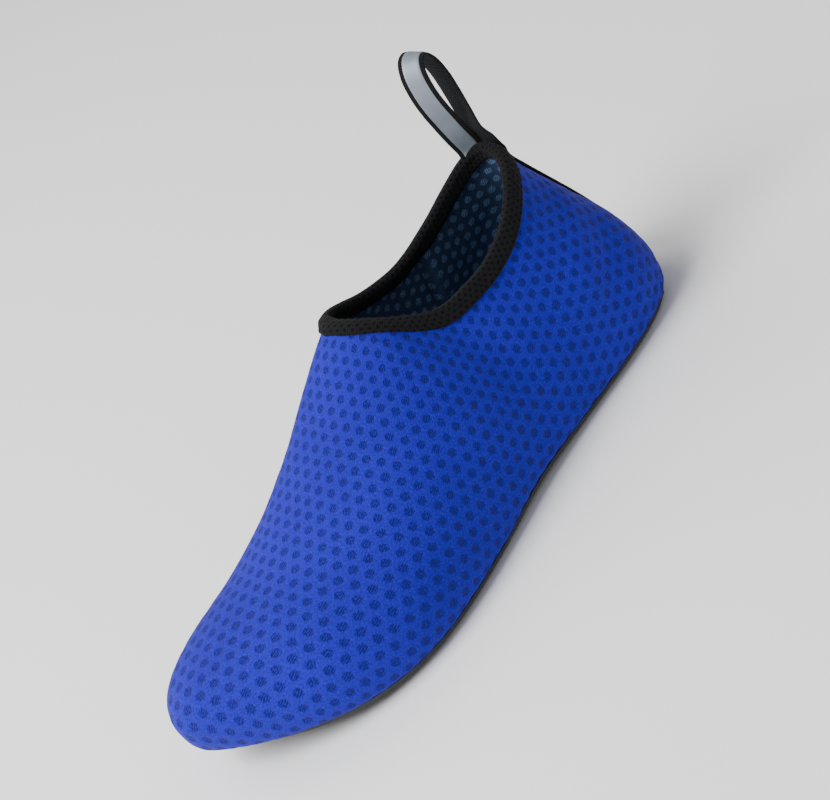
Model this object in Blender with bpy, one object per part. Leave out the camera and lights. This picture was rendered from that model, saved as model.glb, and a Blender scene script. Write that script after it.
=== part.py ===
"""Slip-on water shoe for the left foot, standing empty on its sole.

Metres. The toe points to +Y and the heel to -Y, the inner side of the foot is +X, up is +Z.
The upper is one knitted shell on a thin rubber sole, bound in elastic at the collar, with a
webbing tape that climbs the back of the heel and ends in a pull loop.
"""
import math

import bmesh
import bpy
import numpy as np
from mathutils import Vector

# Main sizes of the shoe
LENGTH = 0.250
BALL_WIDTH = 0.092
INSTEP_HEIGHT = 0.0815
HEEL_HEIGHT = 0.0835
COLLAR_DIP = 0.0170
INSTEP_CROWN = 0.0110
COLLAR_HALF_WIDTH = 0.0240
WALL = 0.0016
GAP = 0.0003

# Where the collar's opening starts, is widest and ends, as shares of the length
OPENING_BACK = 0.100
OPENING_MIDDLE = 0.240
OPENING_FRONT = 0.455
OPENING_INNER_SHARE = 0.76
THROAT_SQUARENESS = 2.6
THROAT_BLEND = 0.340
CROWN_START = 0.60
CROWN_FULL = 0.90
COLLAR_ANGLE = math.radians(80.0)

# The ground line: toe spring, rolled heel and lifted arch
TOE_SPRING = 0.0132
SPRING_START = 0.70
HEEL_ROLL = 0.0020
HEEL_ROLL_END = 0.08
ARCH_LIFT = 0.0012
ARCH_START = 0.30
ARCH_END = 0.56

# How the shell turns under to the sole
BULGE_HEIGHT = 0.0104
TURN_UNDER = 0.0035
LASTING_MARGIN = 0.0080

# Poles that the ribs of the shell fan out from, as shares of the length
HEEL_POLE = 0.150
TOE_POLE = 0.860

# Outsole and its tread
SOLE_THICKNESS = 0.0026
SOLE_INSET = 0.0030
SOLE_EDGE = 0.0014
SOLE_BEVEL = 0.0022
TOE_TUCK = 0.0045
TUCK_START = 0.84
TREAD_DEPTH = 0.0012
TREAD_START = 0.050
TREAD_END = 0.825
TREAD_ROWS = 17
TREAD_MARGIN_OUTER = 0.0110
TREAD_MARGIN_INNER = 0.0075
TREAD_POINT = 0.0028
ROW_GROOVE = 0.0020
LUG_GROOVE = 0.0015
LUG_WIDTH = 0.0088
LUG_SLANT = 0.0024
MOAT_DEPTH = 0.0014
POD_RING = 0.0016
POD_GROOVE = 0.0011
POD_DEPTH = 0.0009
POD_HOLLOW_RIM = 0.80
POD_SEGMENTS = 14
OUTLINE_STEPS = 28
MERGE_ANGLE = math.radians(0.3)
TOE_GROOVE_WIDTH = 0.0018
TOE_GROOVE_OUTER = 0.846
TOE_GROOVE_INNER = 0.872
TOE_GROOVE_BOW = 0.022
CUTTER_OVERSHOOT = 0.0010

# Insole
INSOLE_THICKNESS = 0.0030
INSOLE_CLEARANCE = 0.0014

# Collar binding
BINDING_FLAP = 0.0066
BINDING_THICKNESS = 0.0010

# Heel tape and pull loop
TAPE_WIDTH = 0.0096
TAPE_THICKNESS = 0.0010
TAPE_BOW = 0.0003
STRIPE_WIDTH = 0.0060
STRIPE_STEP = 0.00025
LOOP_HEIGHT = 0.0410
LOOP_SIDE = math.radians(30.0)
LOOP_YAW = math.radians(20.0)
LOOP_YAWED = 0.60
LOOP_TWIST = math.radians(35.0)
LOOP_PIVOT = 0.0025
TAPE_FOOT = 0.0045
TAPE_POINTS = 10
TAPE_STEPS = 2

# Sole outline: along (share of LENGTH), outer and inner half width (shares of BALL_WIDTH)
OUTLINE = (
    (0.000, 0.000, 0.000),
    (0.010, 0.140, 0.125),
    (0.045, 0.285, 0.240),
    (0.110, 0.360, 0.305),
    (0.200, 0.388, 0.318),
    (0.320, 0.392, 0.292),
    (0.440, 0.418, 0.290),
    (0.560, 0.470, 0.350),
    (0.660, 0.505, 0.425),
    (0.750, 0.498, 0.472),
    (0.840, 0.422, 0.472),
    (0.910, 0.295, 0.420),
    (0.960, 0.145, 0.330),
    (0.990, 0.000, 0.205),
    (1.000, -0.105, 0.105),
)

# Ridge of the instep and vamp, carried on behind the throat: along, height (share of INSTEP_HEIGHT)
RIDGE = (
    (0.340, 1.080),
    (0.400, 1.055),
    (0.455, 1.000),
    (0.540, 0.862),
    (0.620, 0.718),
    (0.700, 0.605),
    (0.780, 0.537),
    (0.860, 0.498),
)

# Cross sections: along, ridge offset to the inner side (share of BALL_WIDTH), then for each side
# fullness low and high (shares of the wall's height and span) and outward lean low down
SECTIONS = (
    (0.150, 0.000, 0.24, 0.24, 0.23, 0.24, 0.24, 0.23),
    (0.200, 0.006, 0.34, 0.32, 0.12, 0.34, 0.32, 0.16),
    (0.280, 0.022, 0.44, 0.42, 0.02, 0.44, 0.42, 0.10),
    (0.360, 0.050, 0.46, 0.45, 0.00, 0.46, 0.55, 0.14),
    (0.455, 0.090, 0.50, 0.46, 0.00, 0.46, 0.70, 0.20),
    (0.540, 0.100, 0.52, 0.50, 0.00, 0.46, 0.70, 0.18),
    (0.620, 0.095, 0.54, 0.54, 0.00, 0.50, 0.66, 0.12),
    (0.700, 0.080, 0.55, 0.58, 0.00, 0.54, 0.62, 0.06),
    (0.780, 0.070, 0.56, 0.60, 0.02, 0.56, 0.60, 0.04),
    (0.860, 0.076, 0.58, 0.62, 0.12, 0.58, 0.62, 0.12),
)

# Collar line: share of the opening from back to throat, dip of the outer and inner side
# below the line from heel to instep (shares of COLLAR_DIP)
COLLAR = (
    (0.00, 0.00, 0.00),
    (0.17, 0.43, 0.44),
    (0.34, 0.86, 0.74),
    (0.54, 1.10, 0.84),
    (0.73, 0.84, 0.49),
    (0.87, 0.28, 0.10),
    (0.95, 0.04, 0.00),
    (1.00, 0.00, 0.00),
)

# Where ribs stand between the two poles, closer together at the throat
RIB_STATIONS = (
    0.185, 0.220, 0.260, 0.300, 0.340, 0.375, 0.405, 0.428, 0.444, 0.452, 0.455,
    0.475, 0.505, 0.545, 0.590, 0.635, 0.680, 0.725, 0.770, 0.815,
)
FAN_RIBS = 7
RIB_POINTS = 12
RIB_SAMPLES = 60

# Round pods of the tread: along, across (0 at the inner edge, 1 at the outer edge),
# radius (share of BALL_WIDTH), depth of the hollow in the middle (share of TREAD_DEPTH)
PODS = (
    (0.165, 0.44, 0.170, 0.0),
    (0.277, 0.22, 0.095, 0.6),
    (0.322, 0.64, 0.088, 0.0),
    (0.366, 0.30, 0.080, 0.6),
    (0.432, 0.62, 0.090, 0.0),
    (0.545, 0.55, 0.110, 0.0),
    (0.655, 0.44, 0.130, 0.0),
    (0.772, 0.28, 0.180, 0.0),
    (0.748, 0.68, 0.120, 0.6),
)

# Pull loop seen from the side, front strand first: forward and up, shares of LOOP_HEIGHT
LOOP = (
    (0.053, 0.180),
    (0.102, 0.376),
    (0.142, 0.571),
    (0.152, 0.741),
    (0.123, 0.895),
    (0.046, 0.985),
    (-0.044, 0.985),
    (-0.114, 0.880),
    (-0.133, 0.717),
    (-0.115, 0.546),
    (-0.084, 0.351),
    (-0.057, 0.156),
)

KNIT_BLUE = (0.020, 0.090, 0.480)
ELASTIC_BLACK = (0.010, 0.010, 0.012)
RUBBER_BLACK = (0.022, 0.024, 0.027)
FOAM_NAVY = (0.012, 0.022, 0.055)


# Curves and tables


def graded(rows, along, column):
    """A column of a table at any place along it, by a monotone cubic."""
    table = np.array(rows)
    x, y = table[:, 0], table[:, column]
    step = np.diff(x)
    rise = np.diff(y) / step
    slope = np.zeros_like(y)
    slope[0], slope[-1] = rise[0], rise[-1]
    for i in range(1, len(x) - 1):
        if rise[i - 1] * rise[i] > 0.0:
            a = 2 * step[i] + step[i - 1]
            b = step[i] + 2 * step[i - 1]
            slope[i] = (a + b) / (a / rise[i - 1] + b / rise[i])
    along = min(max(along, x[0]), x[-1])
    i = min(max(int(np.searchsorted(x, along)) - 1, 0), len(x) - 2)
    t = (along - x[i]) / step[i]
    return float(
        y[i] * (2 * t**3 - 3 * t**2 + 1) + slope[i] * step[i] * (t**3 - 2 * t**2 + t)
        + y[i + 1] * (3 * t**2 - 2 * t**3) + slope[i + 1] * step[i] * (t**3 - t**2)
    )


def spline(points, per_span, closed=False):
    """Centripetal Catmull-Rom curve through the points."""
    pts = np.array(points, float)
    if closed:
        pts = np.vstack([pts[-1:], pts, pts[:2]])
    else:
        pts = np.vstack([2 * pts[0] - pts[1], pts, 2 * pts[-1] - pts[-2]])
    t = np.linspace(0.0, 1.0, per_span, endpoint=False)[:, None]
    out = []
    for p0, p1, p2, p3 in zip(pts, pts[1:], pts[2:], pts[3:]):
        d1, d2, d3 = (math.sqrt(np.linalg.norm(b - a)) for a, b in ((p0, p1), (p1, p2), (p2, p3)))
        m1 = ((p1 - p0) / d1 - (p2 - p0) / (d1 + d2) + (p2 - p1) / d2) * d2
        m2 = ((p2 - p1) / d2 - (p3 - p1) / (d2 + d3) + (p3 - p2) / d3) * d2
        out.append(
            (2 * t**3 - 3 * t**2 + 1) * p1 + (t**3 - 2 * t**2 + t) * m1
            + (3 * t**2 - 2 * t**3) * p2 + (t**3 - t**2) * m2
        )
    if not closed:
        out.append(pts[-2:-1])
    return np.vstack(out)


def evenly(points, count):
    """The same polyline, with count points at equal distances along it."""
    seg = np.linalg.norm(np.diff(points, axis=0), axis=1)
    run = np.concatenate([[0.0], np.cumsum(seg)])
    want = np.linspace(0.0, run[-1], count)
    return np.stack([np.interp(want, run, points[:, k]) for k in range(points.shape[1])], -1)


def ray_exit(curve, start, heading):
    """Where a ray from inside a closed plan curve leaves it."""
    rel = curve - start
    nxt = np.roll(rel, -1, axis=0)
    side_a = rel[:, 0] * heading[1] - rel[:, 1] * heading[0]
    side_b = nxt[:, 0] * heading[1] - nxt[:, 1] * heading[0]
    reach = 0.0
    for i in np.where((side_a * side_b <= 0.0) & (side_a != side_b))[0]:
        hit = rel[i] + (nxt[i] - rel[i]) * side_a[i] / (side_a[i] - side_b[i])
        reach = max(reach, float(hit @ heading))
    return start + heading * reach


def ground(y):
    """Height of the sole's underside above the floor, at a place along the shoe."""
    s = y / LENGTH
    toe = max(s - SPRING_START, 0.0) / (1.0 - SPRING_START)
    heel = max(HEEL_ROLL_END - s, 0.0) / HEEL_ROLL_END
    arch = min(max((s - ARCH_START) / (ARCH_END - ARCH_START), 0.0), 1.0)
    return TOE_SPRING * toe**2 + HEEL_ROLL * heel**2 + ARCH_LIFT * math.sin(math.pi * arch) ** 2


def outline_halves():
    """The outline's outer and inner halves in plan, each from heel to toe."""
    outer = [(-row[1] * BALL_WIDTH, row[0] * LENGTH) for row in OUTLINE]
    inner = [(row[2] * BALL_WIDTH, row[0] * LENGTH) for row in OUTLINE[-2:0:-1]]
    per_span = 24
    whole = spline(outer + inner, per_span, closed=True)
    toe = (len(OUTLINE) - 1) * per_span
    first = whole[:toe + 1]
    second = np.vstack([whole[toe:], whole[:1]])[::-1]
    return first, second


def outline_curve():
    """The whole outline as one closed plan curve."""
    outer, inner = outline_halves()
    return np.vstack([outer, inner[-2:0:-1]])


def outline_ring(inset, count, tuck=0.0):
    """Outline points moved inward, from the heel along the outer side and back.

    The tuck is what the toe's tip is moved in besides, fading toward the ball.
    """
    outer, inner = outline_halves()
    ring = np.vstack([evenly(outer, count + 1), evenly(inner, count + 1)[-2:0:-1]])
    along = np.roll(ring, -1, axis=0) - np.roll(ring, 1, axis=0)
    along /= np.linalg.norm(along, axis=1)[:, None]
    inward = np.stack([along[:, 1], -along[:, 0]], -1)
    toe = np.clip((ring[:, 1] / LENGTH - TUCK_START) / (1.0 - TUCK_START), 0.0, 1.0)
    return ring + inward * (inset + tuck * toe**2)[:, None]


def ridge_offset(y):
    """How far the ridge lies to the inner side."""
    return graded(SECTIONS, y / LENGTH, 1) * BALL_WIDTH


def opening_curve():
    """Plan curve of the collar's edge, closed: round at the heel, squarer at the throat."""
    points = []
    for turn in np.linspace(0.0, 2 * math.pi, 360, endpoint=False):
        front = math.cos(turn) > 0
        power = 2.0 / (THROAT_SQUARENESS if front else 2.0)
        reach = abs(math.cos(turn)) ** power
        s = OPENING_MIDDLE + reach * ((OPENING_FRONT if front else OPENING_BACK) - OPENING_MIDDLE)
        width = COLLAR_HALF_WIDTH * (OPENING_INNER_SHARE if math.sin(turn) > 0 else 1.0)
        y = s * LENGTH
        across_ridge = math.copysign(abs(math.sin(turn)) ** power, math.sin(turn))
        points.append((ridge_offset(y) + width * across_ridge, y))
    return np.array(points)


def collar_height(edge, side):
    """Height of the collar's edge, on the inner (side +1) or outer (side -1) half."""
    share = (edge[1] / LENGTH - OPENING_BACK) / (OPENING_FRONT - OPENING_BACK)
    share = min(max(share, 0.0), 1.0)
    dip = graded(COLLAR, share, 2 if side > 0 else 1) * COLLAR_DIP
    off_ridge = (edge[0] - ridge_offset(edge[1])) / COLLAR_HALF_WIDTH
    full = min(max((share - CROWN_START) / (CROWN_FULL - CROWN_START), 0.0), 1.0)
    crown = INSTEP_CROWN * off_ridge**2 * full
    return HEEL_HEIGHT + (INSTEP_HEIGHT - HEEL_HEIGHT) * share - dip - crown


# Meshes


def material(name, colour, roughness, metallic=0.0):
    made = bpy.data.materials.new(name)
    made.use_nodes = True
    shader = made.node_tree.nodes["Principled BSDF"]
    shader.inputs["Base Color"].default_value = (*colour, 1.0)
    shader.inputs["Roughness"].default_value = roughness
    shader.inputs["Metallic"].default_value = metallic
    return made


def add_object(name, verts, faces, finish=None, flat_faces=False, sharp=40.0):
    """A smooth-shaded object, welded where its points coincide, of triangles if asked."""
    mesh = bpy.data.meshes.new(name)
    bm = bmesh.new()
    made = [bm.verts.new(Vector(v)) for v in verts]
    for face in faces:
        bm.faces.new([made[i] for i in face])
    bmesh.ops.remove_doubles(bm, verts=bm.verts, dist=1e-6)
    if flat_faces:
        bmesh.ops.triangulate(bm, faces=bm.faces)
    bm.to_mesh(mesh)
    bm.free()
    obj = bpy.data.objects.new(name, mesh)
    bpy.context.collection.objects.link(obj)
    if finish is not None:
        mesh.materials.append(finish)
    mesh.shade_smooth()
    mesh.set_sharp_from_angle(angle=math.radians(sharp))
    return obj


def turn_outward(obj):
    """Face a closed mesh outward."""
    bm = bmesh.new()
    bm.from_mesh(obj.data)
    bmesh.ops.recalc_face_normals(bm, faces=bm.faces)
    bm.to_mesh(obj.data)
    bm.free()


def helper(obj):
    """Mark an object as a cutter."""
    obj.hide_render = True
    obj.display_type = "WIRE"
    return obj


def boolean(obj, other, operation):
    step = obj.modifiers.new(operation.title(), "BOOLEAN")
    step.operation = operation
    step.solver = "EXACT"
    step.object = other


def stacked_rings(name, rings, finish=None):
    """A solid from rings of equal count, stacked from top to bottom.

    Every ring runs from the heel along the outer side to the toe and back, so that its ends
    can be closed by rungs from side to side.
    """
    count = len(rings[0])
    verts = [tuple(p) for ring in rings for p in ring]
    faces = []
    for level in range(len(rings) - 1):
        a, b = level * count, (level + 1) * count
        for i in range(count):
            j = (i + 1) % count
            faces.append((a + i, a + j, b + j, b + i))
    half = count // 2
    for level in (0, len(rings) - 1):
        base = level * count
        for i in range(half):
            rung = [base + i, base + i + 1, base + (count - i - 1) % count, base + (count - i) % count]
            faces.append(tuple(dict.fromkeys(rung)))
    obj = add_object(name, verts, faces, finish, flat_faces=True)
    turn_outward(obj)
    return obj


def layered_plate(name, layers, count, finish=None, tuck=0.0):
    """A plate that follows the outline and the ground line; layers are (inset, height)."""
    rings = []
    for inset, height in layers:
        rings.append([(x, y, height + ground(y)) for x, y in outline_ring(inset, count, tuck)])
    return stacked_rings(name, rings, finish)


# The upper


def wall_curve(foot, heading, top, angle, slope):
    """A rib's line up the side of the foot, from its widest place to its upper end."""
    s = foot[1] / LENGTH if heading[1] == 0.0 else (HEEL_POLE if heading[1] < 0.0 else TOE_POLE)
    wide = np.array([foot[0], foot[1], BULGE_HEIGHT + ground(foot[1])])
    out = np.array([heading[0], heading[1], 0.0])
    height = top[2] - wide[2]
    span = float(np.linalg.norm(foot - top[:2]))
    first = 5 if heading[0] > 0 else 2
    low, high, lean = (graded(SECTIONS, s, first + k) for k in range(3))
    handle_low = wide + (out * lean + np.array([0.0, 0.0, 1.0])) * height * low
    reach = high * (span * math.cos(angle) ** 2 + height * math.sin(angle) ** 2)
    fall = out * math.cos(angle) + np.array([0.0, 0.0, slope * heading[1] - math.sin(angle)])
    handle_high = top + fall * reach
    t = np.linspace(0.0, 1.0, RIB_SAMPLES)[:, None]
    return ((1 - t) ** 3 * wide + 3 * (1 - t) ** 2 * t * handle_low
            + 3 * (1 - t) * t**2 * handle_high + t**3 * top)


def ridge_wall(start, heading, foot):
    """A rib's line that ends on the ridge."""
    s = start[1] / LENGTH
    top = np.array([start[0], start[1], graded(RIDGE, s, 1) * INSTEP_HEIGHT])
    near = graded(RIDGE, min(s, TOE_POLE - 0.01), 1)
    slope = (graded(RIDGE, min(s, TOE_POLE - 0.01) + 0.01, 1) - near) * INSTEP_HEIGHT / (0.01 * LENGTH)
    return wall_curve(foot, heading, top, 0.0, slope)


def collar_wall(start, heading, foot, opening):
    """A rib's line that ends at the collar; by the throat it is the ridge's line, cut short."""
    edge = ray_exit(opening, start, heading)
    top = np.array([edge[0], edge[1], collar_height(edge, 1 if heading[0] > 0 else -1)])
    angle = COLLAR_ANGLE
    if edge[1] > OPENING_MIDDLE * LENGTH:
        angle *= min(abs(edge[0] - ridge_offset(edge[1])) / COLLAR_HALF_WIDTH, 1.0) ** 1.4
    own = evenly(wall_curve(foot, heading, top, angle, 0.0), RIB_POINTS)
    share = min(max((start[1] / LENGTH - THROAT_BLEND) / (OPENING_FRONT - THROAT_BLEND), 0.0), 1.0)
    if share == 0.0:
        return own
    whole = ridge_wall(start, heading, foot)
    left = np.abs(whole[:, 0] - start[0]) - abs(edge[0] - start[0])
    last = int(np.argmax(left <= 0.0))
    part = left[last - 1] / (left[last - 1] - left[last])
    end = whole[last - 1] + (whole[last] - whole[last - 1]) * part
    cut = evenly(np.vstack([whole[:last], [end]]), RIB_POINTS)
    low = cut[0, 2]
    cut[:, 2] = low + (cut[:, 2] - low) * (top[2] - low) / (end[2] - low)
    blend = share**2 * (3 - 2 * share)
    return own + (cut - own) * blend


def rib(start, heading, outline, opening):
    """One line of the shell in a vertical plane, from the lasting margin to its upper end."""
    foot = ray_exit(outline, start, heading)
    if start[1] / LENGTH < OPENING_FRONT:
        wall = collar_wall(start, heading, foot, opening)
    else:
        wall = evenly(ridge_wall(start, heading, foot), RIB_POINTS)
    under = []
    for share in (1.0, 0.5):
        inside = foot - heading * (TURN_UNDER + LASTING_MARGIN * share)
        under.append((inside[0], inside[1], SOLE_THICKNESS + GAP + ground(inside[1])))
    seat = SOLE_THICKNESS + GAP + ground((foot - heading * TURN_UNDER)[1])
    for turn in np.radians((0.0, 25.0, 50.0, 72.0)):
        inside = foot - heading * TURN_UNDER * (1.0 - math.sin(turn))
        under.append((inside[0], inside[1], wall[0, 2] - (wall[0, 2] - seat) * math.cos(turn)))
    return np.vstack([under, wall])


def rib_starts():
    """Where each rib starts and heads, round the shoe from the heel by the outer side."""
    one_side = []
    heel = np.array([ridge_offset(HEEL_POLE * LENGTH), HEEL_POLE * LENGTH])
    toe = np.array([ridge_offset(TOE_POLE * LENGTH), TOE_POLE * LENGTH])
    for turn in np.linspace(math.pi, math.pi / 2, FAN_RIBS):
        one_side.append((heel, turn))
    for s in RIB_STATIONS:
        one_side.append((np.array([ridge_offset(s * LENGTH), s * LENGTH]), math.pi / 2))
    for turn in np.linspace(math.pi / 2, 0.0, FAN_RIBS):
        one_side.append((toe, turn))
    starts = [(p, np.array([-math.sin(a), math.cos(a)])) for p, a in one_side]
    starts += [(p, np.array([math.sin(a), math.cos(a)])) for p, a in one_side[-2:0:-1]]
    for _, heading in starts:
        heading[np.abs(heading) < 1e-12] = 0.0
    return starts


def shell_ribs():
    outline, opening = outline_curve(), opening_curve()
    return [rib(start, heading, outline, opening) for start, heading in rib_starts()]


def make_upper(finish):
    """The knitted shell: its outer face from the ribs, thickened inward to a real wall."""
    ribs = shell_ribs()
    count = len(ribs[0])
    verts = [tuple(p) for line in ribs for p in line]
    faces = []
    for i in range(len(ribs)):
        a, b = i * count, ((i + 1) % len(ribs)) * count
        for j in range(count - 1):
            faces.append((a + j, a + j + 1, b + j + 1, b + j))
    shell = add_object("upper", verts, faces, finish, flat_faces=True)
    skin = shell.data.copy()
    wall = shell.modifiers.new("Wall", "SOLIDIFY")
    wall.thickness = WALL
    wall.offset = -1.0
    wall.use_even_offset = True
    wall.use_rim = True
    return shell, skin


# Collar binding


def collar_loop(bm):
    """The shell's upper border in order, from the back of the heel."""
    floor = (INSTEP_HEIGHT - COLLAR_DIP) / 2
    rim = [v for v in bm.verts if v.is_boundary and v.co.z > floor]
    start = min(rim, key=lambda v: v.co.y)
    loop, last, here = [], None, start
    while here is not start or not loop:
        loop.append(here)
        onward = [e.other_vert(here) for e in here.link_edges if e.is_boundary]
        last, here = here, next(v for v in onward if v is not last)
    return loop


def collar_frames(loop):
    """For each border vertex its place, the skin's normal and the way down the shell."""
    points = np.array([v.co for v in loop])
    normals = np.array([v.normal for v in loop])
    normals = normals + (np.roll(normals, 1, axis=0) + np.roll(normals, -1, axis=0)) / 2
    normals /= np.linalg.norm(normals, axis=1)[:, None]
    along = np.roll(points, -1, axis=0) - np.roll(points, 1, axis=0)
    down = np.cross(along, normals)
    down /= np.linalg.norm(down, axis=1)[:, None]
    if down[0][2] > 0.0:
        down = -down
    return points, normals, down


def lipped_form(name, skin, lip, thickness, outer):
    """The shell's skin with a lip added at the collar, thickened from its outer face inward."""
    mesh = skin.copy()
    bm = bmesh.new()
    bm.from_mesh(mesh)
    loop = collar_loop(bm)
    points, _, down = collar_frames(loop)
    edge = [bm.verts.new(Vector(p - d * lip)) for p, d in zip(points, down)]
    for i in range(len(loop)):
        bm.faces.new((loop[i - 1], edge[i - 1], edge[i], loop[i]))
    bmesh.ops.recalc_face_normals(bm, faces=bm.faces)
    bm.to_mesh(mesh)
    bm.free()
    form = bpy.data.objects.new(name, mesh)
    bpy.context.collection.objects.link(form)
    wall = form.modifiers.new("Wall", "SOLIDIFY")
    wall.thickness = thickness
    wall.offset = 2 * outer / thickness - 1.0
    wall.use_even_offset = True
    wall.use_rim = True
    return form


def make_band(skin):
    """Cutter round the collar's edge, as deep as the binding's flaps."""
    bm = bmesh.new()
    bm.from_mesh(skin)
    points, normals, down = collar_frames(collar_loop(bm))
    bm.free()
    reach = 2 * (WALL + BINDING_THICKNESS)
    verts, faces = [], []
    for point, normal, way in zip(points, normals, down):
        for along, out in ((-reach, -reach), (-reach, reach), (BINDING_FLAP, reach), (BINDING_FLAP, -reach)):
            verts.append(point + way * along + normal * out)
    for i in range(len(points)):
        a, b = 4 * i, 4 * ((i + 1) % len(points))
        for j in range(4):
            k = (j + 1) % 4
            faces.append((a + j, b + j, b + k, a + k))
    band = add_object("binding_band", verts, faces, flat_faces=True)
    turn_outward(band)
    return helper(band)


def make_binding(skin, finish):
    """Elastic folded over the collar's edge, cut between two larger forms of the upper's skin."""
    outside = GAP + BINDING_THICKNESS
    binding = lipped_form("collar_binding", skin, GAP + outside, WALL + 2 * outside, outside)
    binding.data.materials.clear()
    binding.data.materials.append(finish)
    room = helper(lipped_form("binding_room", skin, 2 * GAP, WALL + 2 * GAP, GAP))
    boolean(binding, make_band(skin), "INTERSECT")
    boolean(binding, room, "DIFFERENCE")
    return binding


# Outsole, tread and insole


def across(y, share):
    """A place across the sole, from its inner edge (0) to its outer edge (1)."""
    outline = outline_curve()
    middle = np.array([ridge_offset(y), y])
    outer = ray_exit(outline, middle, np.array([-1.0, 0.0]))[0] + SOLE_INSET
    inner = ray_exit(outline, middle, np.array([1.0, 0.0]))[0] - SOLE_INSET
    return inner + (outer - inner) * share


def tread_limits(y, point=0.0):
    """Outer and inner border of the tread, widened by its points between rows."""
    return (across(y, 1.0) + TREAD_MARGIN_OUTER - point, across(y, 0.0) - TREAD_MARGIN_INNER + point)


def tread_rows():
    """First and last place along the shoe of each row of lugs."""
    pitch = (TREAD_END - TREAD_START) * LENGTH / TREAD_ROWS
    start = TREAD_START * LENGTH
    for row in range(TREAD_ROWS):
        low = start + row * pitch
        yield low + ROW_GROOVE / 2, low + pitch - ROW_GROOVE / 2


def make_tread_field():
    """The sunk area that the lugs stand in, pointed between rows, with the toe groove."""
    rungs = []
    for low, high in tread_rows():
        for y, point in ((low - ROW_GROOVE / 2, TREAD_POINT), ((low + high) / 2, 0.0)):
            rungs.append((y, *tread_limits(y, point)))
    end = TREAD_END * LENGTH
    rungs.append((end, *tread_limits(end, TREAD_POINT)))
    ring = [(outer, y) for y, outer, _ in rungs] + [(inner, y) for y, _, inner in reversed(rungs)]
    field = ladder("tread_field", ring)
    points = 9
    groove_outer, groove_inner = [], []
    for i in range(points):
        share = i / (points - 1)
        y = LENGTH * (TOE_GROOVE_OUTER + (TOE_GROOVE_INNER - TOE_GROOVE_OUTER) * share
                      + TOE_GROOVE_BOW * math.sin(math.pi * share))
        x = across(y, 0.92 - 0.84 * share)
        groove_outer.append((x, y - TOE_GROOVE_WIDTH / 2))
        groove_inner.append((x, y + TOE_GROOVE_WIDTH / 2))
    toe = ladder("toe_groove", groove_outer + groove_inner[::-1])
    return field, toe


def ladder(name, ring):
    """A cutter between two sides of a strip, sunk to the tread's depth."""
    top = [(x, y, ground(y) + TREAD_DEPTH) for x, y in ring]
    bottom = [(x, y, ground(y) - CUTTER_OVERSHOOT) for x, y in ring]
    count = len(ring)
    half = count // 2
    verts = top + bottom
    faces = []
    for i in range(count):
        j = (i + 1) % count
        faces.append((i, j, count + j, count + i))
    for base in (0, count):
        for i in range(half - 1):
            faces.append((base + i, base + i + 1, base + count - i - 2, base + count - i - 1))
    obj = add_object(name, verts, faces, flat_faces=True)
    turn_outward(obj)
    return helper(obj)


def make_lugs():
    """Slanted lugs, row by row, with grooves between them."""
    verts, faces = [], []
    for low, high in tread_rows():
        outer, inner = tread_limits((low + high) / 2)
        cells = max(round((inner - outer) / LUG_WIDTH), 2)
        borders = []
        for j in range(cells + 1):
            x = outer + (inner - outer) * j / cells
            slant = LUG_SLANT * (1.0 if j % 2 else -0.35)
            if j in (0, cells):
                slant = 0.0
            borders.append((x - slant, x + slant))
        half = LUG_GROOVE / 2
        for (a_low, a_high), (b_low, b_high) in zip(borders, borders[1:]):
            ring = [(a_low + half, low), (b_low - half, low), (b_high - half, high), (a_high + half, high)]
            base = len(verts)
            for level in (TREAD_DEPTH + CUTTER_OVERSHOOT, -2 * CUTTER_OVERSHOOT):
                verts += [(x, y, ground(y) + level) for x, y in ring]
            faces += [(base, base + 1, base + 2, base + 3), (base + 4, base + 7, base + 6, base + 5)]
            faces += [(base + k, base + 4 + k, base + 4 + (k + 1) % 4, base + (k + 1) % 4) for k in range(4)]
    obj = add_object("lugs", verts, faces, flat_faces=True)
    turn_outward(obj)
    return helper(obj)


def turned(name, places):
    """Solids of revolution that follow the ground line; each is (x, y, closed profile)."""
    verts, faces = [], []
    for x, y, profile in places:
        rings = []
        for radius, height in profile:
            steps = POD_SEGMENTS if radius > 0.0 else 1
            rings.append([len(verts) + k % steps for k in range(POD_SEGMENTS)])
            for k in range(steps):
                turn = 2 * math.pi * k / POD_SEGMENTS
                rim = y + radius * math.sin(turn)
                verts.append((x + radius * math.cos(turn), rim, ground(rim) + height))
        for a, b in zip(rings, rings[1:] + rings[:1]):
            for k in range(POD_SEGMENTS):
                m = (k + 1) % POD_SEGMENTS
                face = tuple(dict.fromkeys((a[k], a[m], b[m], b[k])))
                if len(face) > 2:
                    faces.append(face)
    obj = add_object(name, verts, faces, flat_faces=True)
    turn_outward(obj)
    return helper(obj)


def make_pods():
    """Plugs that keep the round pods whole, and the rings and hollows cut round and in them."""
    plugs, marks = [], []
    low, high = -2 * CUTTER_OVERSHOOT, TREAD_DEPTH + CUTTER_OVERSHOOT
    for along, side, size, hollow in PODS:
        y = along * LENGTH
        x = across(y, side)
        radius = size * BALL_WIDTH
        disc = radius - POD_RING - POD_GROOVE
        plug = radius + LUG_GROOVE / 2
        plugs.append((x, y, [(0.0, low), (plug, low), (plug, high), (0.0, high)]))
        cuts = ((radius, radius + LUG_GROOVE, MOAT_DEPTH), (disc, disc + POD_GROOVE, POD_DEPTH))
        for start, end, depth in cuts:
            under = -CUTTER_OVERSHOOT
            marks.append((x, y, [(start, under), (end, under), (end, depth), (start, depth)]))
        if hollow > 0.0:
            rim = disc * POD_HOLLOW_RIM
            marks.append((x, y, [(0.0, -CUTTER_OVERSHOOT), (rim, -CUTTER_OVERSHOOT), (rim, 0.0),
                                 (rim / 2, TREAD_DEPTH * hollow * 0.8), (0.0, TREAD_DEPTH * hollow)]))
    return turned("pod_plugs", plugs), turned("pod_marks", marks)


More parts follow.
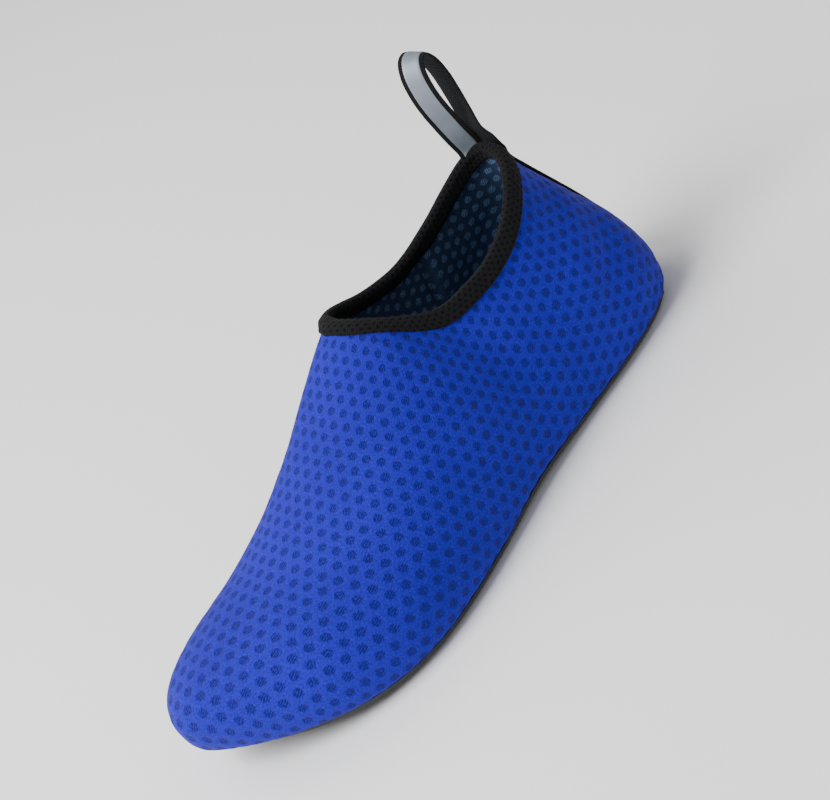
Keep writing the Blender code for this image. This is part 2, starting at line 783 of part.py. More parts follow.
def make_outsole(finish):
    """Thin rubber sole: a bevelled slab with the tread's grooves sunk into its underside."""
    slab = layered_plate("outsole", [
        (SOLE_INSET, SOLE_THICKNESS),
        (SOLE_INSET, SOLE_EDGE),
        (SOLE_INSET + SOLE_BEVEL, 0.0),
    ], OUTLINE_STEPS, finish, TOE_TUCK)
    field, toe = make_tread_field()
    plugs, marks = make_pods()
    boolean(field, make_lugs(), "DIFFERENCE")
    boolean(field, plugs, "DIFFERENCE")
    for cutter in (toe, field, marks):
        boolean(slab, cutter, "DIFFERENCE")
    merge = slab.modifiers.new("Merge flats", "DECIMATE")
    merge.decimate_type = "DISSOLVE"
    merge.angle_limit = MERGE_ANGLE
    return slab


def make_insole(finish):
    """Flat foam liner: it fills the shell's opening underneath and covers the lasting margin."""
    inner = TURN_UNDER + LASTING_MARGIN + INSOLE_CLEARANCE
    outer = TURN_UNDER + WALL + INSOLE_CLEARANCE
    seat = SOLE_THICKNESS + GAP
    ledge = seat + WALL + 2 * GAP
    return layered_plate("insole", [
        (outer, ledge + INSOLE_THICKNESS), (outer, ledge), (inner, ledge), (inner, seat),
    ], OUTLINE_STEPS, finish)


# Heel tape and pull loop


def tape_path():
    """Line of the tape's inner face, its directions across and outward, and its bow.

    The loop turns and twists to the outer side, and its front strand ends on the collar's
    inner side.
    """
    start = np.array([ridge_offset(HEEL_POLE * LENGTH), HEEL_POLE * LENGTH])
    outline, opening = outline_curve(), opening_curve()
    back = rib(start, np.array([0.0, -1.0]), outline, opening)[:, 1:]
    run = evenly(back[back[:, 1] >= SOLE_THICKNESS + TAPE_FOOT], RIB_SAMPLES)
    along = np.gradient(run, axis=0)
    along /= np.linalg.norm(along, axis=1)[:, None]
    out = np.stack([-along[:, 1], along[:, 0]], -1)
    collar = run[-1]
    below = np.linalg.norm(run - collar, axis=1)
    lifted = below < BINDING_FLAP + TAPE_THICKNESS
    bare = below > BINDING_FLAP + 3 * TAPE_THICKNESS
    lower = evenly((run + out * GAP)[bare], TAPE_POINTS)
    upper = evenly((run + out * (2 * GAP + BINDING_THICKNESS))[lifted], 4)
    fold = WALL / 2 + GAP + BINDING_THICKNESS
    leave = upper[-1] + along[-1] * fold
    side = np.array([math.sin(LOOP_SIDE), -math.cos(LOOP_SIDE)])
    seat = rib(start, side, outline, opening)[-1]
    seat = seat + np.array([-side[0] * WALL / 2, -side[1] * WALL / 2, fold + GAP])
    loop = [seat[1:] + np.array(row) * LOOP_HEIGHT for row in LOOP[::-1]]
    path = spline(np.vstack([lower, upper, [leave], loop, [seat[1:]]]), TAPE_STEPS)
    heel = np.arange(len(path)) < TAPE_STEPS * (len(lower) + len(upper))
    bow = np.where(heel, TAPE_BOW * np.clip((collar[1] - path[:, 1]) / BINDING_FLAP, 0.0, 1.0), 0.0)
    step = np.linalg.norm(np.diff(path, axis=0), axis=1)
    gone = np.cumsum(np.concatenate([[0.0], np.where(heel[1:], 0.0, step)]))
    share = gone / gone[-1]
    turned = np.clip(share / LOOP_YAWED, 0.0, 1.0)
    yaw = LOOP_YAW * turned**2 * (3 - 2 * turned)
    pivot = seat[1] - LOOP_PIVOT
    shift = seat[0] - start[0] + LOOP_PIVOT * math.sin(LOOP_YAW)
    rel = path[:, 0] - pivot
    points = np.column_stack([
        start[0] - rel * np.sin(yaw) + shift * share, pivot + rel * np.cos(yaw), path[:, 1],
    ])
    along = np.gradient(path, axis=0)
    along /= np.linalg.norm(along, axis=1)[:, None]
    level = np.zeros(len(path))
    inward = np.column_stack([np.cos(yaw), np.sin(yaw), level])
    out = np.column_stack([along[:, 1] * np.sin(yaw), -along[:, 1] * np.cos(yaw), along[:, 0]])
    twist = (LOOP_TWIST * share)[:, None]
    across = inward * np.cos(twist) + out * np.sin(twist)
    facing = out * np.cos(twist) - inward * np.sin(twist)
    return points, across, facing, bow


def make_pull_tape(finish):
    """Webbing with a raised stripe down the middle of its outer face."""
    path, across, facing, bow = tape_path()
    half, stripe = TAPE_WIDTH / 2, STRIPE_WIDTH / 2
    face, proud = TAPE_THICKNESS, TAPE_THICKNESS + STRIPE_STEP
    profile = [
        (-half, 0.0), (0.0, 0.0), (half, 0.0), (half, face), (stripe, face),
        (stripe, proud), (-stripe, proud), (-stripe, face), (-half, face),
    ]
    verts, faces = [], []
    for point, over, out, drop in zip(path, across, facing, bow):
        for side, height in profile:
            verts.append(tuple(point + over * side + out * (height - drop * (side / half) ** 2)))
    count = len(profile)
    for i in range(len(path) - 1):
        a, b = i * count, (i + 1) * count
        for j in range(count):
            k = (j + 1) % count
            faces.append((a + j, a + k, b + k, b + j))
    last = (len(path) - 1) * count
    faces.append(tuple(range(count)))
    faces.append(tuple(last + j for j in reversed(range(count))))
    obj = add_object("pull_tape", verts, faces, finish)
    turn_outward(obj)
    return obj


# The whole shoe


def clear_scene():
    for obj in list(bpy.data.objects):
        bpy.data.objects.remove(obj, do_unlink=True)


def centre_on_floor(parts):
    """Move the shoe so that the floor's origin is under the middle of its box."""
    graph = bpy.context.evaluated_depsgraph_get()
    corners = []
    for obj in parts:
        evaluated = obj.evaluated_get(graph)
        corners += [obj.matrix_world @ v.co for v in evaluated.data.vertices]
    low = Vector([min(c[k] for c in corners) for k in range(3)])
    high = Vector([max(c[k] for c in corners) for k in range(3)])
    shift = Vector((-(low.x + high.x) / 2, -(low.y + high.y) / 2, -low.z))
    for obj in bpy.data.objects:
        obj.location += shift


def main():
    clear_scene()
    knit = material("blue_knit", KNIT_BLUE, 0.85)
    elastic = material("black_elastic", ELASTIC_BLACK, 0.80)
    rubber = material("black_rubber", RUBBER_BLACK, 0.55)
    foam = material("navy_foam", FOAM_NAVY, 0.90)
    webbing = material("black_webbing", ELASTIC_BLACK, 0.70)
    upper, skin = make_upper(knit)
    parts = [
        upper,
        make_outsole(rubber),
        make_insole(foam),
        make_binding(skin, elastic),
        make_pull_tape(webbing),
    ]
    bpy.data.meshes.remove(skin)
    bpy.context.view_layer.update()
    centre_on_floor(parts)


main()
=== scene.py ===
"""Looks of a slip-on water shoe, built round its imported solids.

Metres. The toe points to +Y, the inner side of the foot is +X, up is +Z. The shapes are worked
out in the shoe's own frame, with the back of the outline at y = 0; frame_shift() is the way from
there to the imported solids.
"""
import math

import bmesh
import bpy
import numpy as np
from mathutils import Matrix, Vector
from mathutils.bvhtree import BVHTree


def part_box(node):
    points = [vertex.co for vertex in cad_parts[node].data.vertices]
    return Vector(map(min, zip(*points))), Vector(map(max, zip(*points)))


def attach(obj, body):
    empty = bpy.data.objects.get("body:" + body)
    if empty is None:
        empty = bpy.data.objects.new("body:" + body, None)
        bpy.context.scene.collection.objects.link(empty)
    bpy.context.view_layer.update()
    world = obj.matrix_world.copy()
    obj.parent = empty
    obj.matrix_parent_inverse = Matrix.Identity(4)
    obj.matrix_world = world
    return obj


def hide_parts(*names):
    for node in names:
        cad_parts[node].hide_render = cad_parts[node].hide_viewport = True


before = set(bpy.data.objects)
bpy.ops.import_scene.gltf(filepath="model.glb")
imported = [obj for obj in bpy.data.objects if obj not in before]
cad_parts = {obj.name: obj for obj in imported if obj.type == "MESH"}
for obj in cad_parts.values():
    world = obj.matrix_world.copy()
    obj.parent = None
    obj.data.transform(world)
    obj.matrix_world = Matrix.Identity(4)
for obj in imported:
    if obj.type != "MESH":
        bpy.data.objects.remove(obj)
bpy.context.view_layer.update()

bl_info = {
    "name": "Water shoe",
    "version": (1, 0, 0),
    "blender": (4, 5, 0),
    "location": "View3D > Sidebar > Shoe",
    "description": "Knitted shell, elastic binding, pull loop, insole and rubber sole of a water shoe",
    "category": "Object",
}

# Main sizes of the shoe, as in its solids
LENGTH = 0.250
BALL_WIDTH = 0.092
INSTEP_HEIGHT = 0.0815
HEEL_HEIGHT = 0.0835
COLLAR_DIP = 0.0170
INSTEP_CROWN = 0.0110
COLLAR_HALF_WIDTH = 0.0240
WALL = 0.0016
GAP = 0.0003

# Where the collar's opening starts, is widest and ends, as shares of the length
OPENING_BACK = 0.100
OPENING_MIDDLE = 0.240
OPENING_FRONT = 0.455
OPENING_INNER_SHARE = 0.76
OPENING_STEPS = 720
THROAT_SQUARENESS = 2.6
THROAT_BLEND = 0.340
COLLAR_TURN_POWER = 1.4
CROWN_START = 0.60
CROWN_FULL = 0.90
COLLAR_ANGLE = math.radians(80.0)

# The ground line
TOE_SPRING = 0.0132
SPRING_START = 0.70
HEEL_ROLL = 0.0020
HEEL_ROLL_END = 0.08
ARCH_LIFT = 0.0012
ARCH_START = 0.30
ARCH_END = 0.56

# How the shell turns under to the sole, and the poles that its ribs fan out from
BULGE_HEIGHT = 0.0104
TURN_UNDER = 0.0035
LASTING_MARGIN = 0.0080
HEEL_POLE = 0.150
TOE_POLE = 0.860

# Sole, insole, binding and tape
SOLE_THICKNESS = 0.0026
SOLE_INSET = 0.0030
OUTLINE_STEPS = 28
OUTLINE_SPAN = 24
INSOLE_THICKNESS = 0.0030
INSOLE_CLEARANCE = 0.0014
BINDING_THICKNESS = 0.0010
TAPE_THICKNESS = 0.0010
TAPE_BOW = 0.0003
LOOP_HEIGHT = 0.0410
LOOP_SIDE = math.radians(30.0)
LOOP_YAW = math.radians(20.0)
LOOP_YAWED = 0.60
LOOP_TWIST = math.radians(35.0)
LOOP_PIVOT = 0.0025
TAPE_POINTS = 10
TAPE_STEPS = 8
TAPE_FOOT = 0.0045
TAPE_TUCK = 0.0030
TAPE_FLAT_POINTS = 11
TAPE_RIM_POINTS = 5
STRIPE_RISE = 0.00022
STRIPE_ROUNDING = 0.94
STRIPE_EDGE = 0.6

# How the insole's edge is rounded, and its points on each side
INSOLE_STEPS = 90
INSOLE_ROUND = 0.0008
INSOLE_CROWN = 0.0002
INSOLE_FLAT = 0.0060

# How the binding's flaps and fold are built up
COLLAR_STEPS = 240
COLLAR_EVENING = 30
FOLD_EVENING = 6
FLAP_EVENING = 4
FLAP_STEPS = 8
FOLD_POINTS = 9
FLAP_ROLL = 0.0006
FLAP_ROLL_START = 0.86
LIP = 0.0020

# Angles above which an edge is drawn sharp: on folded cloth, and on the foil and the insole
CLOTH_SHARP = math.radians(70.0)
PLATE_SHARP = math.radians(50.0)

# Sole outline: along (share of LENGTH), outer and inner half width (shares of BALL_WIDTH)
OUTLINE = (
    (0.000, 0.000, 0.000),
    (0.010, 0.140, 0.125),
    (0.045, 0.285, 0.240),
    (0.110, 0.360, 0.305),
    (0.200, 0.388, 0.318),
    (0.320, 0.392, 0.292),
    (0.440, 0.418, 0.290),
    (0.560, 0.470, 0.350),
    (0.660, 0.505, 0.425),
    (0.750, 0.498, 0.472),
    (0.840, 0.422, 0.472),
    (0.910, 0.295, 0.420),
    (0.960, 0.145, 0.330),
    (0.990, 0.000, 0.205),
    (1.000, -0.105, 0.105),
)

# Ridge of the instep and vamp, carried on behind the throat: along, height (share of INSTEP_HEIGHT)
RIDGE = (
    (0.340, 1.080),
    (0.400, 1.055),
    (0.455, 1.000),
    (0.540, 0.862),
    (0.620, 0.718),
    (0.700, 0.605),
    (0.780, 0.537),
    (0.860, 0.498),
)

# Cross sections: along, ridge offset to the inner side (share of BALL_WIDTH), then for each side
# fullness low and high (shares of the wall's height and span) and outward lean low down
SECTIONS = (
    (0.150, 0.000, 0.24, 0.24, 0.23, 0.24, 0.24, 0.23),
    (0.200, 0.006, 0.34, 0.32, 0.12, 0.34, 0.32, 0.16),
    (0.280, 0.022, 0.44, 0.42, 0.02, 0.44, 0.42, 0.10),
    (0.360, 0.050, 0.46, 0.45, 0.00, 0.46, 0.55, 0.14),
    (0.455, 0.090, 0.50, 0.46, 0.00, 0.46, 0.70, 0.20),
    (0.540, 0.100, 0.52, 0.50, 0.00, 0.46, 0.70, 0.18),
    (0.620, 0.095, 0.54, 0.54, 0.00, 0.50, 0.66, 0.12),
    (0.700, 0.080, 0.55, 0.58, 0.00, 0.54, 0.62, 0.06),
    (0.780, 0.070, 0.56, 0.60, 0.02, 0.56, 0.60, 0.04),
    (0.860, 0.076, 0.58, 0.62, 0.12, 0.58, 0.62, 0.12),
)

# Collar line: share of the opening from back to throat, dip of the outer and inner side
# below the line from heel to instep (shares of COLLAR_DIP)
COLLAR = (
    (0.00, 0.00, 0.00),
    (0.17, 0.43, 0.44),
    (0.34, 0.86, 0.74),
    (0.54, 1.10, 0.84),
    (0.73, 0.84, 0.49),
    (0.87, 0.28, 0.10),
    (0.95, 0.04, 0.00),
    (1.00, 0.00, 0.00),
)

# Where ribs stand between the two poles, closer together at the throat
RIB_STATIONS = (
    0.185, 0.220, 0.260, 0.300, 0.340, 0.375, 0.405, 0.428, 0.444, 0.452, 0.455,
    0.475, 0.505, 0.545, 0.590, 0.635, 0.680, 0.725, 0.770, 0.815,
)
FAN_SPANS = 6
RIB_SAMPLES = 160
COARSE_POINTS = 15
RIDGE_STEP = 0.01
SAME = 1e-9

# How finely the shell is cut, and how its flat pattern lies
RIB_PARTS = 6
POINT_PARTS = 6
PATTERN_PARTS = 2
PATTERN_FRONT = 0.52
PATTERN_TOE = 0.80
CLOTH_TURN = math.radians(8.0)

# Pull loop seen from the side, front strand first: forward and up, shares of LOOP_HEIGHT
LOOP = (
    (0.053, 0.180),
    (0.102, 0.376),
    (0.142, 0.571),
    (0.152, 0.741),
    (0.123, 0.895),
    (0.046, 0.985),
    (-0.044, 0.985),
    (-0.114, 0.880),
    (-0.133, 0.717),
    (-0.115, 0.546),
    (-0.084, 0.351),
    (-0.057, 0.156),
)

# Soft creases: side (-1 outer, 1 inner), along and up at both ends, width, depth (metres)
CREASES = (
    (-1, 0.012, 0.052, 0.046, 0.018, 0.0080, 0.0011),
    (-1, 0.020, 0.064, 0.060, 0.040, 0.0100, 0.0009),
    (-1, 0.112, 0.060, 0.088, 0.026, 0.0110, 0.0009),
    (1, 0.012, 0.052, 0.046, 0.018, 0.0080, 0.0010),
    (1, 0.112, 0.060, 0.090, 0.026, 0.0110, 0.0009),
)

# Camera that saw the shoe, in the shoe's own frame
CAMERA_TARGET = (0.0, 0.125, 0.040)
CAMERA_DISTANCE = 0.8754
CAMERA_TURN = math.radians(-118.3)
CAMERA_RISE = math.radians(28.2)
CAMERA_ROLL = math.radians(37.7)
CAMERA_FOCAL_PIXELS = 2549.3
CAMERA_AIM_RIGHT = 0.0077
CAMERA_AIM_UP = 0.0113
FRAME_WIDTH = 830
SENSOR_WIDTH = 36.0

# Stage: half the floor's width, lights (name, place, size, power) that face the shoe, and the sky
FLOOR_HALF = 3.0
LIGHTS = (
    ("key", (0.05, 0.85, 1.00), 0.80, 27.0),
    ("fill", (-1.10, -0.40, 0.50), 1.00, 0.5),
    ("back", (0.90, 0.10, 0.80), 0.80, 6.0),
)
LIGHT_AIM = Vector((0.0, 0.0, 0.04))
SKY_STRENGTH = 0.46


# Curves and tables


def graded(rows, along, column):
    """A column of a table at any place along it, by a monotone cubic."""
    table = np.array(rows)
    x, y = table[:, 0], table[:, column]
    step = np.diff(x)
    rise = np.diff(y) / step
    slope = np.zeros_like(y)
    slope[0], slope[-1] = rise[0], rise[-1]
    for i in range(1, len(x) - 1):
        if rise[i - 1] * rise[i] > 0.0:
            a = 2 * step[i] + step[i - 1]
            b = step[i] + 2 * step[i - 1]
            slope[i] = (a + b) / (a / rise[i - 1] + b / rise[i])
    along = min(max(along, x[0]), x[-1])
    i = min(max(int(np.searchsorted(x, along)) - 1, 0), len(x) - 2)
    t = (along - x[i]) / step[i]
    return float(
        y[i] * (2 * t**3 - 3 * t**2 + 1) + slope[i] * step[i] * (t**3 - 2 * t**2 + t)
        + y[i + 1] * (3 * t**2 - 2 * t**3) + slope[i + 1] * step[i] * (t**3 - t**2)
    )


def spline(points, per_span, closed=False):
    """Centripetal Catmull-Rom curve through the points."""
    pts = np.array(points, float)
    if closed:
        pts = np.vstack([pts[-1:], pts, pts[:2]])
    else:
        pts = np.vstack([2 * pts[0] - pts[1], pts, 2 * pts[-1] - pts[-2]])
    t = np.linspace(0.0, 1.0, per_span, endpoint=False)[:, None]
    out = []
    for p0, p1, p2, p3 in zip(pts, pts[1:], pts[2:], pts[3:]):
        d1, d2, d3 = (math.sqrt(np.linalg.norm(b - a)) for a, b in ((p0, p1), (p1, p2), (p2, p3)))
        m1 = ((p1 - p0) / d1 - (p2 - p0) / (d1 + d2) + (p2 - p1) / d2) * d2
        m2 = ((p2 - p1) / d2 - (p3 - p1) / (d2 + d3) + (p3 - p2) / d3) * d2
        out.append(
            (2 * t**3 - 3 * t**2 + 1) * p1 + (t**3 - 2 * t**2 + t) * m1
            + (3 * t**2 - 2 * t**3) * p2 + (t**3 - t**2) * m2
        )
    if not closed:
        out.append(pts[-2:-1])
    return np.vstack(out)


def evenly(points, count):
    """The same polyline, with count points at equal distances along it."""
    seg = np.linalg.norm(np.diff(points, axis=0), axis=1)
    run = np.concatenate([[0.0], np.cumsum(seg)])
    want = np.linspace(0.0, run[-1], count)
    return np.stack([np.interp(want, run, points[:, k]) for k in range(points.shape[1])], -1)


def finer(values, parts):
    """The same run of numbers, with every step cut into equal parts."""
    places = np.linspace(0, len(values) - 1, (len(values) - 1) * parts + 1)
    return np.interp(places, np.arange(len(values)), values)


def ray_exit(curve, start, heading):
    """Where a ray from inside a closed plan curve leaves it."""
    rel = curve - start
    nxt = np.roll(rel, -1, axis=0)
    side_a = rel[:, 0] * heading[1] - rel[:, 1] * heading[0]
    side_b = nxt[:, 0] * heading[1] - nxt[:, 1] * heading[0]
    reach = 0.0
    for i in np.where((side_a * side_b <= 0.0) & (side_a != side_b))[0]:
        hit = rel[i] + (nxt[i] - rel[i]) * side_a[i] / (side_a[i] - side_b[i])
        reach = max(reach, float(hit @ heading))
    return start + heading * reach


def ground(y):
    """Height of the sole's underside above the floor, at a place along the shoe."""
    s = y / LENGTH
    toe = max(s - SPRING_START, 0.0) / (1.0 - SPRING_START)
    heel = max(HEEL_ROLL_END - s, 0.0) / HEEL_ROLL_END
    arch = min(max((s - ARCH_START) / (ARCH_END - ARCH_START), 0.0), 1.0)
    return TOE_SPRING * toe**2 + HEEL_ROLL * heel**2 + ARCH_LIFT * math.sin(math.pi * arch) ** 2


def outline_halves():
    """The outline's outer and inner halves in plan, each from heel to toe."""
    outer = [(-row[1] * BALL_WIDTH, row[0] * LENGTH) for row in OUTLINE]
    inner = [(row[2] * BALL_WIDTH, row[0] * LENGTH) for row in OUTLINE[-2:0:-1]]
    whole = spline(outer + inner, OUTLINE_SPAN, closed=True)
    toe = (len(OUTLINE) - 1) * OUTLINE_SPAN
    return whole[:toe + 1], np.vstack([whole[toe:], whole[:1]])[::-1]


def outline_curve():
    """The whole outline as one closed plan curve."""
    outer, inner = outline_halves()
    return np.vstack([outer, inner[-2:0:-1]])


def outline_ring(inset, count):
    """Outline points moved inward, from the heel along the outer side and back."""
    outer, inner = outline_halves()
    ring = np.vstack([evenly(outer, count + 1), evenly(inner, count + 1)[-2:0:-1]])
    along = np.roll(ring, -1, axis=0) - np.roll(ring, 1, axis=0)
    along /= np.linalg.norm(along, axis=1)[:, None]
    inward = np.stack([along[:, 1], -along[:, 0]], -1)
    return ring + inward * inset


def ridge_offset(y):
    """How far the ridge lies to the inner side."""
    return graded(SECTIONS, y / LENGTH, 1) * BALL_WIDTH


def opening_curve():
    """Plan curve of the collar's edge, closed: round at the heel, squarer at the throat."""
    points = []
    for turn in np.linspace(0.0, 2 * math.pi, OPENING_STEPS, endpoint=False):
        front = math.cos(turn) > 0
        power = 2.0 / (THROAT_SQUARENESS if front else 2.0)
        reach = abs(math.cos(turn)) ** power
        s = OPENING_MIDDLE + reach * ((OPENING_FRONT if front else OPENING_BACK) - OPENING_MIDDLE)
        width = COLLAR_HALF_WIDTH * (OPENING_INNER_SHARE if math.sin(turn) > 0 else 1.0)
        y = s * LENGTH
        across_ridge = math.copysign(abs(math.sin(turn)) ** power, math.sin(turn))
        points.append((ridge_offset(y) + width * across_ridge, y))
    return np.array(points)


def collar_height(edge, side):
    """Height of the collar's edge, on the inner (side +1) or outer (side -1) half."""
    share = (edge[1] / LENGTH - OPENING_BACK) / (OPENING_FRONT - OPENING_BACK)
    share = min(max(share, 0.0), 1.0)
    dip = graded(COLLAR, share, 2 if side > 0 else 1) * COLLAR_DIP
    off_ridge = (edge[0] - ridge_offset(edge[1])) / COLLAR_HALF_WIDTH
    full = min(max((share - CROWN_START) / (CROWN_FULL - CROWN_START), 0.0), 1.0)
    return HEEL_HEIGHT + (INSTEP_HEIGHT - HEEL_HEIGHT) * share - dip - INSTEP_CROWN * off_ridge**2 * full


# The shell's ribs


def wall_curve(foot, heading, top, angle, slope):
    """A rib's line up the side of the foot, from its widest place to its upper end."""
    s = foot[1] / LENGTH if heading[1] == 0.0 else (HEEL_POLE if heading[1] < 0.0 else TOE_POLE)
    wide = np.array([foot[0], foot[1], BULGE_HEIGHT + ground(foot[1])])
    out = np.array([heading[0], heading[1], 0.0])
    height = top[2] - wide[2]
    span = float(np.linalg.norm(foot - top[:2]))
    first = 5 if heading[0] > 0 else 2
    low, high, lean = (graded(SECTIONS, s, first + k) for k in range(3))
    handle_low = wide + (out * lean + np.array([0.0, 0.0, 1.0])) * height * low
    reach = high * (span * math.cos(angle) ** 2 + height * math.sin(angle) ** 2)
    fall = out * math.cos(angle) + np.array([0.0, 0.0, slope * heading[1] - math.sin(angle)])
    handle_high = top + fall * reach
    t = np.linspace(0.0, 1.0, RIB_SAMPLES)[:, None]
    return ((1 - t) ** 3 * wide + 3 * (1 - t) ** 2 * t * handle_low
            + 3 * (1 - t) * t**2 * handle_high + t**3 * top)


def ridge_wall(start, heading, foot):
    """A rib's line that ends on the ridge."""
    s = start[1] / LENGTH
    top = np.array([start[0], start[1], graded(RIDGE, s, 1) * INSTEP_HEIGHT])
    back = min(s, TOE_POLE - RIDGE_STEP)
    rise = graded(RIDGE, back + RIDGE_STEP, 1) - graded(RIDGE, back, 1)
    slope = rise * INSTEP_HEIGHT / (RIDGE_STEP * LENGTH)
    return wall_curve(foot, heading, top, 0.0, slope)


def collar_wall(start, heading, foot, opening, count):
    """A rib's line that ends at the collar; by the throat it is the ridge's line, cut short."""
    edge = ray_exit(opening, start, heading)
    top = np.array([edge[0], edge[1], collar_height(edge, 1 if heading[0] > 0 else -1)])
    angle = COLLAR_ANGLE
    if edge[1] > OPENING_MIDDLE * LENGTH:
        angle *= min(abs(edge[0] - ridge_offset(edge[1])) / COLLAR_HALF_WIDTH, 1.0) ** COLLAR_TURN_POWER
    own = evenly(wall_curve(foot, heading, top, angle, 0.0), count)
    share = min(max((start[1] / LENGTH - THROAT_BLEND) / (OPENING_FRONT - THROAT_BLEND), 0.0), 1.0)
    if share == 0.0:
        return own
    whole = ridge_wall(start, heading, foot)
    left = np.abs(whole[:, 0] - start[0]) - abs(edge[0] - start[0])
    last = int(np.argmax(left <= 0.0))
    part = left[last - 1] / (left[last - 1] - left[last])
    end = whole[last - 1] + (whole[last] - whole[last - 1]) * part
    cut = evenly(np.vstack([whole[:last], [end]]), count)
    low = cut[0, 2]
    cut[:, 2] = low + (cut[:, 2] - low) * (top[2] - low) / (end[2] - low)
    blend = share**2 * (3 - 2 * share)
    return own + (cut - own) * blend


def rib(start, heading, outline, opening, parts=1):
    """One line of the shell in a vertical plane, from the lasting margin to its upper end."""
    foot = ray_exit(outline, start, heading)
    count = (COARSE_POINTS - 1) * parts + 1
    if start[1] / LENGTH < OPENING_FRONT - SAME:
        wall = collar_wall(start, heading, foot, opening, count)
    else:
        wall = evenly(ridge_wall(start, heading, foot), count)
    under = []
    for share in finer((1.0, 0.5, 0.0), parts)[:-1]:
        inside = foot - heading * (TURN_UNDER + LASTING_MARGIN * share)
        under.append((inside[0], inside[1], SOLE_THICKNESS + GAP + ground(inside[1])))
    seat = SOLE_THICKNESS + GAP + ground((foot - heading * TURN_UNDER)[1])
    for turn in np.radians(finer((0.0, 30.0, 60.0, 90.0), parts)[:-1]):
        inside = foot - heading * TURN_UNDER * (1.0 - math.sin(turn))
        under.append((inside[0], inside[1], wall[0, 2] - (wall[0, 2] - seat) * math.cos(turn)))
    return np.vstack([under, wall])


def rib_starts(parts):
    """Where each rib starts and heads, round the shoe from the heel by the outer side."""
    turns = finer(np.linspace(math.pi, math.pi / 2, FAN_SPANS + 1), parts)
    stations = finer((HEEL_POLE, *RIB_STATIONS, TOE_POLE), parts)
    one_side = [(HEEL_POLE, turn) for turn in turns]
    one_side += [(s, math.pi / 2) for s in stations[1:-1]]
    one_side += [(TOE_POLE, turn) for turn in turns - math.pi / 2]
    starts = []
    for sign, rows in ((-1, one_side), (1, one_side[-2:0:-1])):
        for s, turn in rows:
            heading = np.array([sign * math.sin(turn), math.cos(turn)])
            heading[np.abs(heading) < 1e-12] = 0.0
            starts.append((np.array([ridge_offset(s * LENGTH), s * LENGTH]), heading))
    return starts


def shell_grid(parts_around, parts_up):
    """The shell's outer face as a grid of points, a row for each rib, and where each rib starts."""
    outline, opening = outline_curve(), opening_curve()
    starts = rib_starts(parts_around)
    grid = np.array([rib(start, heading, outline, opening, parts_up) for start, heading in starts])
    return grid, np.array([start[1] / LENGTH for start, _ in starts])


def grid_indices(grid, stations):
    """Numbers of the grid's points, the same where ribs meet on the ridge or at the toe's pole."""
    ribs, points = grid.shape[:2]
    numbers = np.arange(ribs * points).reshape(ribs, points)
    for i in range(1, ribs):
        if stations[i] >= OPENING_FRONT - SAME:
            twin = ribs - i
            if abs(stations[i] - TOE_POLE) < SAME:
                twin = int(np.argmax(stations >= TOE_POLE - SAME))
            numbers[i, -1] = numbers[min(i, twin), -1]
    return numbers


def flat_pattern(grid, stations):
    """The cloth of the shell laid flat, in metres: a place for each point of the grid.

    The cloth is cut open at the back of the heel, so the first rib's places come again, as a
    last row.
    """
    numbers = grid_indices(grid, stations)
    ribs, points = numbers.shape
    numbers = np.vstack([numbers, np.arange(points) + ribs * points])
    verts = np.vstack([grid.reshape(-1, 3), grid[0]])
    mesh = bpy.data.meshes.new("pattern")
    faces = []
    for i in range(ribs):
        for j in range(points - 1):
            ring = (numbers[i, j], numbers[i, j + 1], numbers[i + 1, j + 1], numbers[i + 1, j])
            faces.append([int(k) for k in dict.fromkeys(ring)])
    mesh.from_pydata(verts.tolist(), [], faces)
    obj = bpy.data.objects.new("pattern", mesh)
    bpy.context.collection.objects.link(obj)
    bpy.context.view_layer.objects.active = obj
    obj.select_set(True)
    bpy.ops.object.mode_set(mode="EDIT")
    bpy.ops.mesh.select_all(action="SELECT")
    bpy.ops.uv.unwrap(method="MINIMUM_STRETCH", margin=0.0)
    bpy.ops.object.mode_set(mode="OBJECT")
    places = np.zeros((len(mesh.vertices), 2))
    for loop, spot in zip(mesh.loops, mesh.uv_layers.active.data):
        places[loop.vertex_index] = spot.uv
    flat_area = 0.0
    for face in faces:
        x, y = places[face].T
        flat_area += 0.5 * abs(np.sum(x * np.roll(y, -1) - y * np.roll(x, -1)))
    scale = math.sqrt(sum(p.area for p in mesh.polygons) / flat_area)
    bpy.data.objects.remove(obj, do_unlink=True)
    bpy.data.meshes.remove(mesh)
    front = int(np.argmax(stations >= PATTERN_FRONT))
    toe = int(np.argmax(stations >= PATTERN_TOE))
    axis = places[numbers[toe, -1]] - places[numbers[front, -1]]
    axis /= np.linalg.norm(axis)
    spin = np.array([[axis[1], axis[0]], [-axis[0], axis[1]]])
    laid = (places - places[numbers[toe, -1]]) @ spin * scale
    cos, sin = math.cos(CLOTH_TURN), math.sin(CLOTH_TURN)
    return (laid @ np.array([[cos, sin], [-sin, cos]]))[numbers]


def finer_pattern(pattern, parts_around, parts_up):
    """The flat pattern at the places of a finer grid."""
    ribs, points = pattern.shape[:2]
    around = np.linspace(0, ribs - 1, (ribs - 1) * parts_around + 1)
    up = np.linspace(0, points - 1, (points - 1) * parts_up + 1)
    rows = np.array([[np.interp(around, np.arange(ribs), pattern[:, j, k]) for k in range(2)]
                     for j in range(points)])
    return np.array([[np.interp(up, np.arange(points), rows[:, k, i]) for k in range(2)]
                     for i in range(len(around))]).transpose(0, 2, 1)


# Placing and mesh helpers


def frame_shift():
    """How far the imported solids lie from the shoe's own frame."""
    ring = outline_ring(SOLE_INSET, OUTLINE_STEPS)
    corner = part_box("outsole")[0]
    return np.array([corner.x - ring[:, 0].min(), corner.y - ring[:, 1].min(), 0.0])


